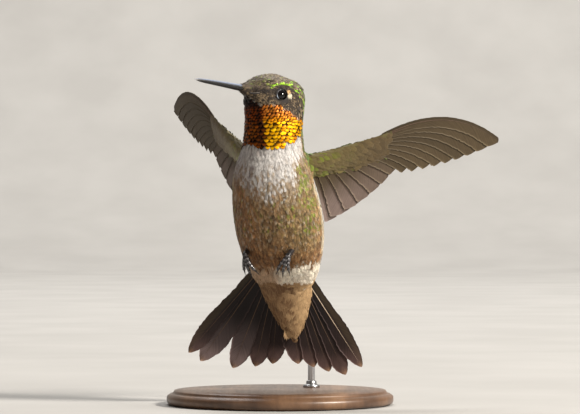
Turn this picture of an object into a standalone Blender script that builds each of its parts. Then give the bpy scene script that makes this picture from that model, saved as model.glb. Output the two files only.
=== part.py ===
"""Ruby-throated hummingbird, adult male, hovering upright on a plain display stand.

Life size, in metres, +Z up. The origin is the centre of the underside of the stand's base.
The breast faces -Y, turned a little towards -X, and the bill points further towards -X.
"l" and "r" in names are the bird's own left and right; its left wing reaches towards +X.
"""

import math

import bmesh
import bpy
from mathutils import Vector

MM = 0.001
GAP = 0.3 * MM
UP = Vector((0.0, 0.0, 1.0))

# Shift in mm of the whole bird over the base, whose centre is the origin.
PLACE = Vector((0.0, -6.0, -2.0))

# The trunk's spine is a straight line that leans towards the way the breast faces.
BODY_TURN = 25.0
SPINE_HEIGHT = 50.0
SPINE_X = -0.7
SPINE_Y = 0.0
LEAN = 13.0
SECTION_SIDES = 20
SECTION_STEP = 1.8

# Heights in mm at which the body is parted into its nodes.
RUMP_FOOT = 31.0
RUMP_TOP = 36.3
TRUNK_TOP = 64.5
NECK_TOP = 71.5
CROWN = 83.1

# Cross sections of the body, from below: name, height, offset x and y from the spine,
# half width, reach in front, reach behind, turn in degrees, and how far the section
# narrows towards its front like an egg.
BODY_SECTIONS = (
    ("tail root", 31.0, 0.0, 0.0, 6.0, 3.2, 3.4, 14, 0.0),
    ("vent", 34.0, 0.0, 0.0, 8.5, 5.2, 5.4, 20, 0.0),
    ("thighs", 38.3, 0.1, 0.0, 10.2, 7.8, 8.0, 25, 0.0),
    ("belly", 44.5, 0.1, 0.0, 11.3, 9.2, 9.2, 25, 0.0),
    ("keel", 50.0, 0.0, 0.0, 11.3, 9.8, 9.5, 25, 0.0),
    ("breast", 55.7, -0.3, 0.0, 10.4, 9.8, 9.3, 25, 0.0),
    ("shoulders", 59.5, -0.2, 0.0, 9.6, 9.4, 8.8, 25, 0.0),
    ("collar", 63.0, 0.2, 0.0, 8.4, 8.5, 8.0, 27, 0.0),
    ("neck", 66.5, 0.8, -0.2, 7.3, 7.9, 7.4, 32, 0.0),
    ("throat", 70.0, 1.2, -0.4, 6.8, 7.7, 7.2, 40, 0.0),
    ("cheeks", 73.5, 1.5, -0.3, 6.6, 7.8, 7.7, 46, 0.08),
    ("chin", 76.5, 1.7, 0.0, 6.4, 8.5, 7.9, 48, 0.22),
    ("eyes", 78.4, 1.9, 0.4, 6.1, 9.6, 7.6, 48, 0.34),
    ("lores", 79.8, 2.0, 0.8, 5.7, 9.9, 7.0, 48, 0.38),
    ("forehead", 81.1, 2.0, 1.1, 4.9, 8.3, 6.0, 48, 0.26),
    ("crown edge", 82.3, 2.0, 1.4, 3.5, 5.7, 4.3, 48, 0.10),
    ("crown", 83.1, 2.0, 1.5, 0.8, 1.4, 1.1, 48, 0.0),
)

# Head, bill and eyes.
HEAD_TURN = 48.0
HEAD_X = -1.6
HEAD_Y = -5.0
BILL_RISE = 8.0
BILL_ROOT_HEIGHT = 78.7
BILL_ROOT_FORWARD = 6.0
BILL_REACH = 19.4
BILL_DROOP = 0.35
BILL_PARTING = 0.12
BILL_SIDES = 8
BILL_STATIONS = 9
EYE_RADIUS = 1.5
EYE_HEIGHT = 77.6
EYE_FORWARD = 2.1
EYE_SIDE = 4.65

# Tail: a fan of ten feathers round a point above its root.
TAIL_TURN = 4.0
TAIL_LEAN = 16.0
TAIL_ROOT = (0.86, 3.3, 34.0)
TAIL_APEX = 8.0
TAIL_START = -1.0
TAIL_THICKNESS = 0.5
TAIL_BLADE = 3.4
TAIL_SHOULDER = 0.66
TAIL_SPREAD = {"l": (6.0, 12.6, 18.2, 23.8, 30.8), "r": (6.0, 13.4, 22.2, 34.8, 40.4)}
TAIL_RADIUS = (31.4, 32.8, 34.9, 37.1, 37.1)

# Wings: span runs out from the shoulder, chord runs up towards the leading edge.
SHOULDER_HEIGHT = {"l": 62.0, "r": 63.5}
SHOULDER_SIDE = 7.0
SHOULDER_BACK = 2.5
WING_SWEEP = {"l": 43.0, "r": 39.0}
WING_RISE = {"l": 0.0, "r": 8.5}
WING_PITCH = {"l": 25.0, "r": 14.0}
WING_BEND = 3.0
WING_LENGTH = 51.7
WING_THICKNESS = 0.5
PRIMARIES = 10
SECONDARIES = 6
PRIMARY_BLADE = 3.0
WING_SHOULDER = 0.86

# Legs and feet.
LEG_SIDE = 5.9
LEG_FRONT = 8.5
ANKLE_HEIGHT = 39.0
THIGH_RADIUS = 1.4
SHANK_RADIUS = 0.6
ANKLE_RADIUS = 0.75
TOE_RADIUS = 0.34
CLAW_RADIUS = 0.25

# Display stand.
BASE_RADIUS = 28.0
BASE_HEIGHT = 3.4
BASE_EDGE = 0.7
ROD_RADIUS = 0.9
ROD_BACK = 19.0
ROD_ENTRY_HEIGHT = 45.0
SOCKET_DEPTH = 2.2


def clear_scene():
    for item in list(bpy.data.objects):
        bpy.data.objects.remove(item, do_unlink=True)


def new_collection(name):
    collection = bpy.data.collections.new(name)
    bpy.context.scene.collection.children.link(collection)
    return collection


def new_material(name, color, roughness, metallic=0.0):
    material = bpy.data.materials.new(name)
    material.use_nodes = True
    shader = material.node_tree.nodes["Principled BSDF"]
    shader.inputs["Base Color"].default_value = (*color, 1.0)
    shader.inputs["Roughness"].default_value = roughness
    shader.inputs["Metallic"].default_value = metallic
    material.diffuse_color = (*color, 1.0)
    return material


def placed(point):
    """Point in metres over the base, from one in mm in the bird's own frame."""
    return (point + PLACE) * MM


def turned(degrees):
    """Forward, left and back directions of something turned from -Y towards -X."""
    angle = math.radians(degrees)
    forward = Vector((-math.sin(angle), -math.cos(angle), 0.0))
    left = Vector((math.cos(angle), -math.sin(angle), 0.0))
    return forward, left, -forward


def spine(height):
    """Point of the trunk's leaning axis at a height in mm."""
    forward = turned(BODY_TURN)[0]
    shift = (height - SPINE_HEIGHT) * math.tan(math.radians(LEAN))
    return Vector((SPINE_X, SPINE_Y, height)) + forward * shift


def smooth_between(rows, height):
    """Row of values at a height, on smooth curves through the rows."""
    last = len(rows) - 1
    low = max(i for i in range(last) if rows[i][0] <= height or i == 0)
    span = rows[low + 1][0] - rows[low][0]
    t = min(max((height - rows[low][0]) / span, 0.0), 1.0)

    def slope(i, column):
        before, after = rows[max(i - 1, 0)], rows[min(i + 1, last)]
        return (after[column] - before[column]) / (after[0] - before[0]) * span

    values = []
    for column in range(1, len(rows[0])):
        a, b = rows[low][column], rows[low + 1][column]
        da, db = slope(low, column), slope(low + 1, column)
        values.append(
            (2 * t**3 - 3 * t**2 + 1) * a + (t**3 - 2 * t**2 + t) * da
            + (3 * t**2 - 2 * t**3) * b + (t**3 - t**2) * db
        )
    return values


def body_ring(height, grow=0.0):
    """Points round the body at a height in mm, grown outwards by grow mm."""
    rows = [section[1:] for section in BODY_SECTIONS]
    dx, dy, half_width, front, back, turn, egg = smooth_between(rows, height)
    forward, left, _ = turned(turn)
    centre = spine(height) + Vector((dx, dy, 0.0))
    ring = []
    for k in range(SECTION_SIDES):
        angle = 2 * math.pi * k / SECTION_SIDES
        along, across = math.cos(angle), math.sin(angle)
        reach = (front if along > 0 else back) + grow
        side = (half_width + grow) * (1.0 - egg * along)
        ring.append(placed(centre + forward * reach * along + left * side * across))
    return ring


def add_object(name, mesh, collection, material=None):
    item = bpy.data.objects.new(name, mesh)
    collection.objects.link(item)
    if material is not None:
        mesh.materials.append(material)
    if collection.name == "cutters":
        item.hide_render = True
        item.display_type = "WIRE"
    return item


def mesh_from(name, builder):
    """Mesh made by a function that fills a bmesh, with its faces pointing out."""
    grid = bmesh.new()
    builder(grid)
    bmesh.ops.recalc_face_normals(grid, faces=grid.faces)
    mesh = bpy.data.meshes.new(name)
    grid.to_mesh(mesh)
    grid.free()
    mesh.shade_smooth()
    mesh.set_sharp_from_angle(angle=math.radians(40))
    return mesh


def loft(name, rings, collection, material=None):
    """Closed body through rings of equal point count, capped at both ends."""

    def build(grid):
        rows = [[grid.verts.new(point) for point in ring] for ring in rings]
        count = len(rings[0])
        for low, high in zip(rows, rows[1:]):
            for k in range(count):
                following = (k + 1) % count
                grid.faces.new((low[k], low[following], high[following], high[k]))
        for row in (rows[0], rows[-1]):
            middle = grid.verts.new(sum((v.co for v in row), Vector()) / count)
            for k in range(count):
                grid.faces.new((row[k], row[(k + 1) % count], middle))

    return add_object(name, mesh_from(name, build), collection, material)


def sheet(name, columns, thickness, collection, material):
    """Thin body of even thickness, centred on a grid of points given by columns."""

    def build(grid):
        lines = [[grid.verts.new(point) for point in column] for column in columns]
        for one, other in zip(lines, lines[1:]):
            for k in range(len(one) - 1):
                grid.faces.new((one[k], other[k], other[k + 1], one[k + 1]))

    item = add_object(name, mesh_from(name, build), collection, material)
    solid = item.modifiers.new("thickness", "SOLIDIFY")
    solid.thickness = thickness
    solid.offset = 0.0
    return item


def tube(name, points, radii, collection, material=None, sides=1):
    """Round tube along points, with a radius at each and closed ends."""
    curve = bpy.data.curves.new(name + "_line", "CURVE")
    curve.dimensions = "3D"
    curve.bevel_depth = 1.0
    curve.bevel_resolution = sides
    curve.use_fill_caps = True
    line = curve.splines.new("POLY")
    line.points.add(len(points) - 1)
    for spot, point, radius in zip(line.points, points, radii):
        spot.co = (*point, 1.0)
        spot.radius = radius
    guide = bpy.data.objects.new(name + "_line", curve)
    bpy.context.scene.collection.objects.link(guide)
    seen = guide.evaluated_get(bpy.context.evaluated_depsgraph_get())
    raw = bpy.data.meshes.new_from_object(seen)
    bpy.data.objects.remove(guide, do_unlink=True)
    grid = bmesh.new()
    grid.from_mesh(raw)
    bmesh.ops.remove_doubles(grid, verts=grid.verts, dist=0.01 * MM)
    bmesh.ops.recalc_face_normals(grid, faces=grid.faces)
    grid.to_mesh(raw)
    grid.free()
    raw.materials.clear()
    return add_object(name, raw, collection, material)


def ball(name, centre, radius, segments, collection, material=None):
    def build(grid):
        bmesh.ops.create_uvsphere(
            grid, u_segments=segments, v_segments=segments - 4, radius=radius
        )
        bmesh.ops.translate(grid, verts=grid.verts, vec=centre)

    return add_object(name, mesh_from(name, build), collection, material)


def cut(item, *cutters, operation="DIFFERENCE"):
    for cutter in cutters:
        step = item.modifiers.new(cutter.name, "BOOLEAN")
        step.operation = operation
        step.solver = "EXACT"
        step.object = cutter


def body_part(name, low, high, collection, material=None, grow=0.0):
    """Length of the body between two heights in mm."""
    steps = max(3, round((high - low) / SECTION_STEP))
    heights = [low + (high - low) * k / steps for k in range(steps + 1)]
    rings = [body_ring(height, grow) for height in heights]
    return loft(name, rings, collection, material)


def make_body(parts, cutters, looks):
    """Rump, trunk, neck and head, parted by thin level cuts."""
    half = GAP / MM / 2
    nodes = {
        "rump": body_part("rump", RUMP_FOOT, RUMP_TOP - half, parts, looks["down"]),
        "trunk": body_part("trunk", RUMP_TOP + half, TRUNK_TOP - half, parts, looks["breast"]),
        "neck": body_part("neck", TRUNK_TOP + half, NECK_TOP - half, parts, looks["gorget"]),
        "head": body_part("head", NECK_TOP + half, CROWN, parts, looks["crown"]),
    }
    clear = GAP / MM
    grown = {
        "rump": body_part("rump_cutter", RUMP_FOOT - clear, RUMP_TOP + 2.0, cutters, grow=clear),
        "trunk": body_part("trunk_cutter", RUMP_TOP - clear, NECK_TOP + clear, cutters, grow=clear),
        "head": body_part("head_cutter", NECK_TOP, CROWN + clear, cutters, grow=clear),
    }
    return nodes, grown


def bill_ring(reach, sign):
    """Half-round section of one mandible; sign is 1 for the upper and -1 for the lower."""
    forward, left, _ = turned(HEAD_TURN)
    rise = math.radians(BILL_RISE)
    along = forward * math.cos(rise) + UP * math.sin(rise)
    above = UP * math.cos(rise) - forward * math.sin(rise)
    root = Vector((HEAD_X, HEAD_Y, BILL_ROOT_HEIGHT)) + forward * BILL_ROOT_FORWARD
    t = reach / BILL_REACH
    half_width = 1.35 - 0.75 * t**0.6 - (0.25 * max(t - 0.93, 0.0) / 0.07)
    depth = (1.15 - 0.65 * t**0.7) if sign > 0 else (0.95 - 0.55 * t**0.7)
    centre = root + along * reach - above * BILL_DROOP * t * t
    ring = []
    for k in range(BILL_SIDES + 1):
        angle = math.pi * k / BILL_SIDES
        side = left * half_width * math.cos(angle)
        lift = above * sign * (BILL_PARTING / 2 + depth * math.sin(angle))
        ring.append(placed(centre + side + lift))
    return ring


def make_bill(parts, looks, grown):
    for name, sign, length in (("bill_upper", 1, 1.0), ("bill_lower", -1, 0.97)):
        rings = []
        for k in range(BILL_STATIONS):
            t = 1 - (1 - k / (BILL_STATIONS - 1)) ** 1.4
            rings.append(bill_ring(BILL_REACH * length * t, sign))
        cut(loft(name, rings, parts, looks["bill"]), grown["head"])


def make_eyes(parts, cutters, looks, nodes):
    forward, left, _ = turned(HEAD_TURN)
    for name, sign in (("l", 1), ("r", -1)):
        centre = Vector((HEAD_X, HEAD_Y, EYE_HEIGHT)) + forward * EYE_FORWARD
        centre = placed(centre + left * sign * EYE_SIDE)
        ball("eye_" + name, centre, EYE_RADIUS * MM, 12, parts, looks["eye"])
        socket = ball("socket_" + name, centre, EYE_RADIUS * MM + GAP, 12, cutters)
        cut(nodes["head"], socket)


def tail_point(across, along, out=0.0):
    """Point of the tail: across to the bird's left, along from the root, out to the front."""
    forward, left, back = turned(TAIL_TURN)
    lean = math.radians(TAIL_LEAN)
    down = back * math.sin(lean) - UP * math.cos(lean)
    front = forward * math.cos(lean) - UP * math.sin(lean)
    return placed(Vector(TAIL_ROOT) + left * across + down * along + front * out)


def blade_shape(t, shoulder):
    """Width of a feather along its length, as a share of its widest.

    The blade narrows to its tip from the shoulder on.
    """
    body = 0.42 + 0.58 * min(t / 0.6, 1.0) ** 0.8
    tip = max(1.0 - (max(t - shoulder, 0.0) / (1.0 - shoulder)) ** 2, 0.0) ** 0.7
    return max(body * tip, 0.06)


def make_tail(parts, looks, grown):
    """Ten tail feathers, edge to edge, and the coverts over and under their roots."""
    fan = [("r", i, -a) for i, a in reversed(list(enumerate(TAIL_SPREAD["r"], 1)))]
    fan += [("l", i, a) for i, a in enumerate(TAIL_SPREAD["l"], 1)]
    angles = [math.radians(entry[2]) for entry in fan]
    rows = (0.0, 0.2, 0.4, 0.6, 0.74, 0.85, 0.93, 0.98, 1.0)
    for place, (side, number, _) in enumerate(fan):
        angle = angles[place]
        columns = []
        for edge in (-1, 0, 1):
            beside = place + edge
            if 0 <= beside < len(fan) and edge:
                room = abs(angles[beside] - angle) / 2
            else:
                room = math.radians(8.0)
            column = []
            start = (TAIL_APEX + TAIL_START) / math.cos(angle)
            for t in rows:
                reach = mix(start, TAIL_RADIUS[number - 1], t)
                free = reach * math.sin(room) - GAP / MM / 2
                width = min(TAIL_BLADE * blade_shape(t, TAIL_SHOULDER), free) * edge
                across = reach * math.sin(angle) + width * math.cos(angle)
                along = reach * math.cos(angle) - width * math.sin(angle) - TAIL_APEX
                column.append(tail_point(across, along))
            columns.append(column)
        name = f"rectrix_{side}{number}"
        feather = sheet(name, columns, TAIL_THICKNESS * MM, parts, looks["tail"])
        cut(feather, grown["rump"])
    make_covert("undertail_coverts", 1, 16.9, 7.2, 2.4, 2.6, parts, looks["under"], grown)
    make_covert("uppertail_coverts", -1, 12.5, 5.6, 3.0, 0.5, parts, looks["back"], grown)


def make_covert(name, sign, length, half_width, depth, skew, parts, look, grown):
    """Tapering pad of covert feathers on one face of the tail."""
    sides, stations, start = 10, 8, -1.5
    clear = TAIL_THICKNESS / 2 + GAP / MM
    rings = []
    for k in range(stations):
        t = k / (stations - 1)
        along = start + (length - start) * t
        taper = (1 - t**1.5) * 0.93 + 0.07
        ring = []
        for step in range(sides + 1):
            angle = math.pi * step / sides
            across = skew * t + half_width * taper * math.cos(angle)
            out = sign * (clear + (0.6 + depth * (1 - t) ** 1.1) * math.sin(angle))
            ring.append(tail_point(across, along, out))
        rings.append(ring)
    cut(loft(name, rings, parts, look), grown["rump"])


class Wing:
    """Surface of one wing: span and chord in mm from the shoulder."""

    def __init__(self, name):
        self.name = name
        self.sign = 1 if name == "l" else -1
        forward, left, back = turned(BODY_TURN)
        sweep = math.radians(WING_SWEEP[name])
        rise = math.radians(WING_RISE[name])
        pitch = math.radians(WING_PITCH[name])
        level = left * self.sign * math.cos(sweep) + back * math.sin(sweep)
        front = level.cross(UP) * self.sign
        self.span = level * math.cos(rise) + UP * math.sin(rise)
        above = UP * math.cos(rise) - level * math.sin(rise)
        self.chord = above * math.cos(pitch) + front * math.sin(pitch)
        self.front = front * math.cos(pitch) - above * math.sin(pitch)
        shoulder = left * self.sign * SHOULDER_SIDE + back * SHOULDER_BACK
        self.root = spine(SHOULDER_HEIGHT[name]) + shoulder

    def point(self, span, chord, out=0.0):
        bend = WING_BEND * (span / WING_LENGTH) ** 2
        place = self.root + self.span * span + self.chord * chord
        return placed(place + self.front * (out - bend))


def mix(a, b, t):
    return a + (b - a) * t


def flight_axis(index):
    """Root, bend and tip of a flight feather's shaft as (span, chord) pairs in mm.

    Index 0 is the innermost secondary, and the last is the outermost primary.
    """
    if index < SECONDARIES:
        v = 1 - index / (SECONDARIES - 1)
        angle = math.radians(-22 - 46 * v)
        length = 13.0 + 2.6 * v
        root = Vector((mix(11.0, 3.0, v), mix(0.5, -2.0, v)))
        along = Vector((math.cos(angle), math.sin(angle)))
        across = Vector((-along.y, along.x))
        return root, root + along * length / 2 + across * 0.8, root + along * length
    u = (index - SECONDARIES) / (PRIMARIES - 1)
    root = Vector((mix(12.0, 20.0, u), mix(1.5, 6.4, u)))
    bend = Vector((mix(19.0, 36.2, u), mix(1.6, 15.6, u**1.3)))
    tip = Vector((mix(25.0, WING_LENGTH, u), mix(-1.9, 4.0, u**1.8)))
    return root, bend, tip


def along_axis(index, t):
    root, bend, tip = flight_axis(index)
    return root * (1 - t) ** 2 + bend * 2 * t * (1 - t) + tip * t**2


def vane_edge(index, other, t, widest):
    """Edge of a feather towards its neighbour, kept on its own half of the gap."""
    own = along_axis(index, t)
    if 0 <= other < PRIMARIES + SECONDARIES:
        towards = along_axis(other, t) - own
        free = towards.length / 2 - GAP / MM / 2
    else:
        before = along_axis(index, max(t - 0.05, 0.0))
        after = along_axis(index, min(t + 0.05, 1.0))
        run = after - before
        towards = Vector((-run.y, run.x)) * (1 if other > index else -1)
        free = 0.8
    return own + towards.normalized() * min(free, widest * blade_shape(t, WING_SHOULDER))


def make_primaries(wing, parts, looks, arm_cutter):
    rows = (0.0, 0.15, 0.3, 0.45, 0.6, 0.73, 0.84, 0.92, 0.97, 1.0)
    for number in range(1, PRIMARIES + 1):
        index = SECONDARIES + number - 1
        inner = [vane_edge(index, index - 1, t, PRIMARY_BLADE) for t in rows]
        shaft = [along_axis(index, t) for t in rows]
        outer = [vane_edge(index, index + 1, t, PRIMARY_BLADE) for t in rows]
        columns = [[wing.point(*spot) for spot in line] for line in (inner, shaft, outer)]
        name = f"wing_{wing.name}_primary_{number:02d}"
        feather = sheet(name, columns, WING_THICKNESS * MM, parts, looks["wing"])
        cut(feather, arm_cutter)


def make_secondaries(wing, parts, looks, grown, arm_cutter):
    """Six secondaries as one blade with a scalloped hind edge."""
    rows = (0.0, 0.25, 0.5, 0.75, 0.9, 1.0)
    notch = 0.93
    last = SECONDARIES - 1
    lines = [[vane_edge(0, -1, t * notch, PRIMARY_BLADE) for t in rows]]
    for index in range(SECONDARIES):
        for share, reach in ((-0.3, 0.98), (0.0, 1.0), (0.3, 0.98), (0.5, notch)):
            beside = index + (share > 0) - (share < 0)
            if 0 <= beside <= last and (beside != index or share == 0.0):
                own = [along_axis(index, t * reach) for t in rows]
                other = [along_axis(beside, t * reach) for t in rows]
                lines.append([a.lerp(b, abs(share)) for a, b in zip(own, other)])
    lines.append([vane_edge(last, last + 1, t * notch, PRIMARY_BLADE) for t in rows])
    columns = [[wing.point(*spot) for spot in line] for line in lines]
    name = f"wing_{wing.name}_secondaries"
    blade = sheet(name, columns, WING_THICKNESS * MM, parts, looks["wing"])
    cut(blade, grown["trunk"], arm_cutter)


def arm_ring(wing, span, grow=0.0):
    """Section of the feathered arm: thick in front, thin at the coverts' hind edge."""
    rows = (
        (-3.0, 1.6, -5.4, 3.0),
        (3.0, 2.2, -5.0, 2.6),
        (9.2, 3.9, -3.7, 1.9),
        (17.0, 6.3, -1.4, 1.0),
        (22.0, 8.0, 1.0, 0.55),
    )
    lead, hind, half_depth = smooth_between(rows, span)
    middle, half_chord = (lead + hind) / 2, (lead - hind) / 2
    sides = 14
    ring = []
    for k in range(sides):
        angle = 2 * math.pi * k / sides
        swell = 0.72 + 0.28 * math.cos(angle)
        chord = middle + (half_chord + grow) * math.cos(angle)
        out = (half_depth * swell + grow) * math.sin(angle)
        ring.append(wing.point(span, chord, out))
    return ring


def make_wing(name, parts, cutters, looks, grown):
    wing = Wing(name)
    clear = GAP / MM
    spans = (-3.0, 0.0, 3.0, 6.0, 9.2, 12.0, 15.0, 18.0, 20.5, 22.0)
    rings = [arm_ring(wing, span) for span in spans]
    arm = loft(f"wing_{name}_arm", rings, parts, looks["arm"])
    cut(arm, grown["trunk"])
    rings = [arm_ring(wing, span, clear) for span in spans]
    ends = [wing.span * clear * MM * sign for sign in (-1, 1)]
    rings = [[p + ends[0] for p in rings[0]]] + rings[1:-1] + [[p + ends[1] for p in rings[-1]]]
    arm_cutter = loft(f"arm_{name}_cutter", rings, cutters)
    make_primaries(wing, parts, looks, arm_cutter)
    make_secondaries(wing, parts, looks, grown, arm_cutter)


def make_leg(name, parts, cutters, looks, grown):
    """Short leg out of the belly and a hanging foot of four clawed toes."""
    sign = 1 if name == "l" else -1
    forward, left, _ = turned(BODY_TURN)
    ankle = spine(ANKLE_HEIGHT) + left * sign * LEG_SIDE + forward * LEG_FRONT
    knee = ankle + UP * 2.2 - forward * 4.0
    reach = ankle - knee
    foot_top = knee + reach * (1 - (ANKLE_RADIUS + GAP / MM) / reach.length)
    leg = tube(
        "leg_" + name, [placed(knee), placed(foot_top)], [THIGH_RADIUS * MM, SHANK_RADIUS * MM],
        parts, looks["foot"], sides=2,
    )
    cut(leg, grown["trunk"])
    foot = ball("foot_" + name, placed(ankle), ANKLE_RADIUS * MM, 10, parts, looks["foot"])
    inward = left * -sign
    toes = (("inner", 3.1, 5.0, 0.4), ("middle", 1.9, 5.5, 0.6), ("outer", 0.6, 5.0, 0.4))
    for toe, across, drop, bulge in toes + (("hind", 1.2, 3.4, -1.1),):
        points = []
        for k in range(6):
            t = k / 5
            swing = math.sin(math.pi * min(t * 1.15, 1.0))
            spot = ankle + inward * across * t - UP * drop * t + forward * bulge * swing
            points.append(placed(spot))
        radii = [mix(TOE_RADIUS, CLAW_RADIUS, (k / 5) ** 2) * MM for k in range(6)]
        cutter = tube(f"toe_{name}_{toe}", points, radii, cutters, sides=1)
        cut(foot, cutter, operation="UNION")


def make_stand(parts, cutters, looks, grown):
    """Flat round base and one bent rod that rises behind the tail into the lower back."""
    forward, left, back = turned(BODY_TURN)
    entry = spine(ROD_ENTRY_HEIGHT) + back * 6.0
    foot = spine(ROD_ENTRY_HEIGHT) + back * ROD_BACK
    bottom = BASE_HEIGHT - SOCKET_DEPTH + GAP / MM - PLACE.z
    bend_height = ROD_ENTRY_HEIGHT - 8.0
    points = [Vector((foot.x, foot.y, height)) for height in (bottom, 12.0, 24.0, bend_height)]
    corner = Vector((foot.x, foot.y, ROD_ENTRY_HEIGHT))
    for k in range(1, 8):
        t = k / 7
        points.append(points[3] * (1 - t) ** 2 + corner * 2 * t * (1 - t) + entry * t**2)
    radii = [ROD_RADIUS * MM] * len(points)
    rod = tube("stand_rod", [placed(p) for p in points], radii, parts, looks["steel"], sides=3)
    cut(rod, grown["trunk"])

    def build(grid):
        bmesh.ops.create_cone(
            grid, cap_ends=True, segments=48, depth=BASE_HEIGHT * MM,
            radius1=BASE_RADIUS * MM, radius2=BASE_RADIUS * MM,
        )
        bmesh.ops.translate(grid, verts=grid.verts, vec=UP * BASE_HEIGHT / 2 * MM)

    base = add_object("stand_base", mesh_from("stand_base", build), parts, looks["wood"])
    edge = base.modifiers.new("edge", "BEVEL")
    edge.width = BASE_EDGE * MM
    edge.segments = 1
    edge.limit_method = "ANGLE"

    def bore(grid):
        depth = 2 * SOCKET_DEPTH * MM
        radius = ROD_RADIUS * MM + GAP
        bmesh.ops.create_cone(
            grid, cap_ends=True, segments=24, depth=depth, radius1=radius, radius2=radius
        )
        hole = placed(foot)
        bmesh.ops.translate(grid, verts=grid.verts, vec=(hole.x, hole.y, BASE_HEIGHT * MM))

    cut(base, add_object("socket_base", mesh_from("socket_base", bore), cutters))


def make_looks():
    return {
        "crown": new_material("crown", (0.16, 0.15, 0.08), 0.6),
        "gorget": new_material("gorget", (0.75, 0.28, 0.02), 0.35),
        "breast": new_material("breast", (0.55, 0.50, 0.42), 0.8),
        "down": new_material("down", (0.80, 0.78, 0.72), 0.9),
        "under": new_material("undertail", (0.30, 0.22, 0.13), 0.8),
        "back": new_material("back", (0.10, 0.16, 0.04), 0.5),
        "tail": new_material("tail", (0.05, 0.03, 0.04), 0.55),
        "arm": new_material("coverts", (0.20, 0.18, 0.08), 0.7),
        "wing": new_material("flight_feather", (0.14, 0.11, 0.09), 0.6),
        "bill": new_material("bill", (0.03, 0.03, 0.04), 0.35),
        "eye": new_material("eye", (0.01, 0.01, 0.015), 0.05),
        "foot": new_material("foot", (0.02, 0.02, 0.02), 0.45),
        "wood": new_material("base", (0.55, 0.53, 0.50), 0.6),
        "steel": new_material("rod", (0.55, 0.55, 0.56), 0.3, 1.0),
    }


def main():
    clear_scene()
    parts = new_collection("hummingbird")
    cutters = new_collection("cutters")
    looks = make_looks()
    nodes, grown = make_body(parts, cutters, looks)
    make_bill(parts, looks, grown)
    make_eyes(parts, cutters, looks, nodes)
    make_tail(parts, looks, grown)
    for name in ("l", "r"):
        make_wing(name, parts, cutters, looks, grown)
        make_leg(name, parts, cutters, looks, grown)
    make_stand(parts, cutters, looks, grown)


main()
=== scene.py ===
"""Ruby-throated hummingbird, adult male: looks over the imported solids.

Bird sizes are in mm in the bird's own frame, as in the construction: +Z up, -Y towards the front
view, +X towards the bird's left. shown() turns them into metres over the stand.
"""

import math

import bmesh
import bpy
import numpy as np
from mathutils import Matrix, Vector, kdtree
from mathutils.bvhtree import BVHTree


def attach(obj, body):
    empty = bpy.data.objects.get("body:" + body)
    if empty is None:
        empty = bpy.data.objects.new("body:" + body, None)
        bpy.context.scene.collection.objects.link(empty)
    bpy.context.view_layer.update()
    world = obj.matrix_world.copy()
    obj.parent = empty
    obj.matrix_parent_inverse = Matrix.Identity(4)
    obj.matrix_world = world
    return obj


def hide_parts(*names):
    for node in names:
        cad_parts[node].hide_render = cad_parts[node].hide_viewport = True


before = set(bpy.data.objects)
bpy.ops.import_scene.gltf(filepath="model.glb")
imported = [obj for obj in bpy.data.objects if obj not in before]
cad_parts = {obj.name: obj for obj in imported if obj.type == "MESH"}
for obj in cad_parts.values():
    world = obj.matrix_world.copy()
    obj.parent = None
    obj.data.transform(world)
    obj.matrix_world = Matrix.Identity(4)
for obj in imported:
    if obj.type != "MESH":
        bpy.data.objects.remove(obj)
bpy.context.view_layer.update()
chance = np.random.default_rng(17)

MM = 0.001
PLACE = np.array((0.0, -6.0, -2.0))
UP = np.array((0.0, 0.0, 1.0))

# Trunk: a leaning axis, and the way the body and the head face.
BODY_TURN = 25.0
SPINE_X, SPINE_HEIGHT, LEAN = -0.7, 50.0, 13.0
HEAD_TURN = 48.0
HEAD_CENTRE = np.array((-1.6, -5.0, 77.6))
TAIL_TURN = 4.0

# Bill and eyes.
BILL_RISE, BILL_REACH, BILL_DROOP = 8.0, 19.4, 0.35
BILL_ROOT_HEIGHT, BILL_ROOT_FORWARD = 78.7, 6.0
EYE_RADIUS, EYE_FORWARD, EYE_SIDE = 1.5, 2.1, 4.65
LID_OPENING = 1.28

# Tail fan.
TAIL_LEAN, TAIL_APEX = 16.0, 8.0
TAIL_ROOT = np.array((0.86, 3.3, 34.0))
TAIL_SPREAD = {"l": (6.0, 12.6, 18.2, 23.8, 30.8), "r": (6.0, 13.4, 22.2, 34.8, 40.4)}
TAIL_RADIUS = (31.4, 32.8, 34.9, 37.1, 37.1)

# Wings.
SHOULDER_HEIGHT = {"l": 62.0, "r": 63.5}
SHOULDER_SIDE, SHOULDER_BACK = 7.0, 2.5
WING_SWEEP = {"l": 43.0, "r": 39.0}
WING_RISE = {"l": 0.0, "r": 8.5}
WING_PITCH = {"l": 25.0, "r": 14.0}
WING_BEND, WING_LENGTH = 3.0, 51.7
PRIMARIES, SECONDARIES = 10, 6

# Coat: how far the skin lies inside the solids, and the mesh that it is made from.
COAT_DEPTH = 0.42
HEAD_COAT_DEPTH = 0.28
SKIN_VOXEL = 0.3
SEAM_CLOSING = 0.25
PATCH = 0.003

SIDES = (("l", 1), ("r", -1))

# Solids of flesh, by the region of the skin that they become.
BODY, ARM_L, ARM_R, UNDERTAIL, UPPERTAIL, LEGS = range(6)
ARMS = {"l": ARM_L, "r": ARM_R}
REGIONS = (
    ("head", "neck", "trunk", "rump"), ("wing_l_arm",), ("wing_r_arm",),
    ("undertail_coverts",), ("uppertail_coverts",), ("leg_l", "leg_r"),
)
FLESH = [name for names in REGIONS for name in names]


# ---------------------------------------------------------------- small helpers

def shown(points):
    """Points in metres over the stand, from mm in the bird's own frame."""
    return (np.asarray(points) + PLACE) * MM


def in_bird(points):
    """Points in mm in the bird's own frame, from metres over the stand."""
    return np.asarray(points) / MM - PLACE


def unit(vectors):
    vectors = np.asarray(vectors, float)
    return vectors / np.maximum(np.linalg.norm(vectors, axis=-1, keepdims=True), 1e-9)


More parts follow.
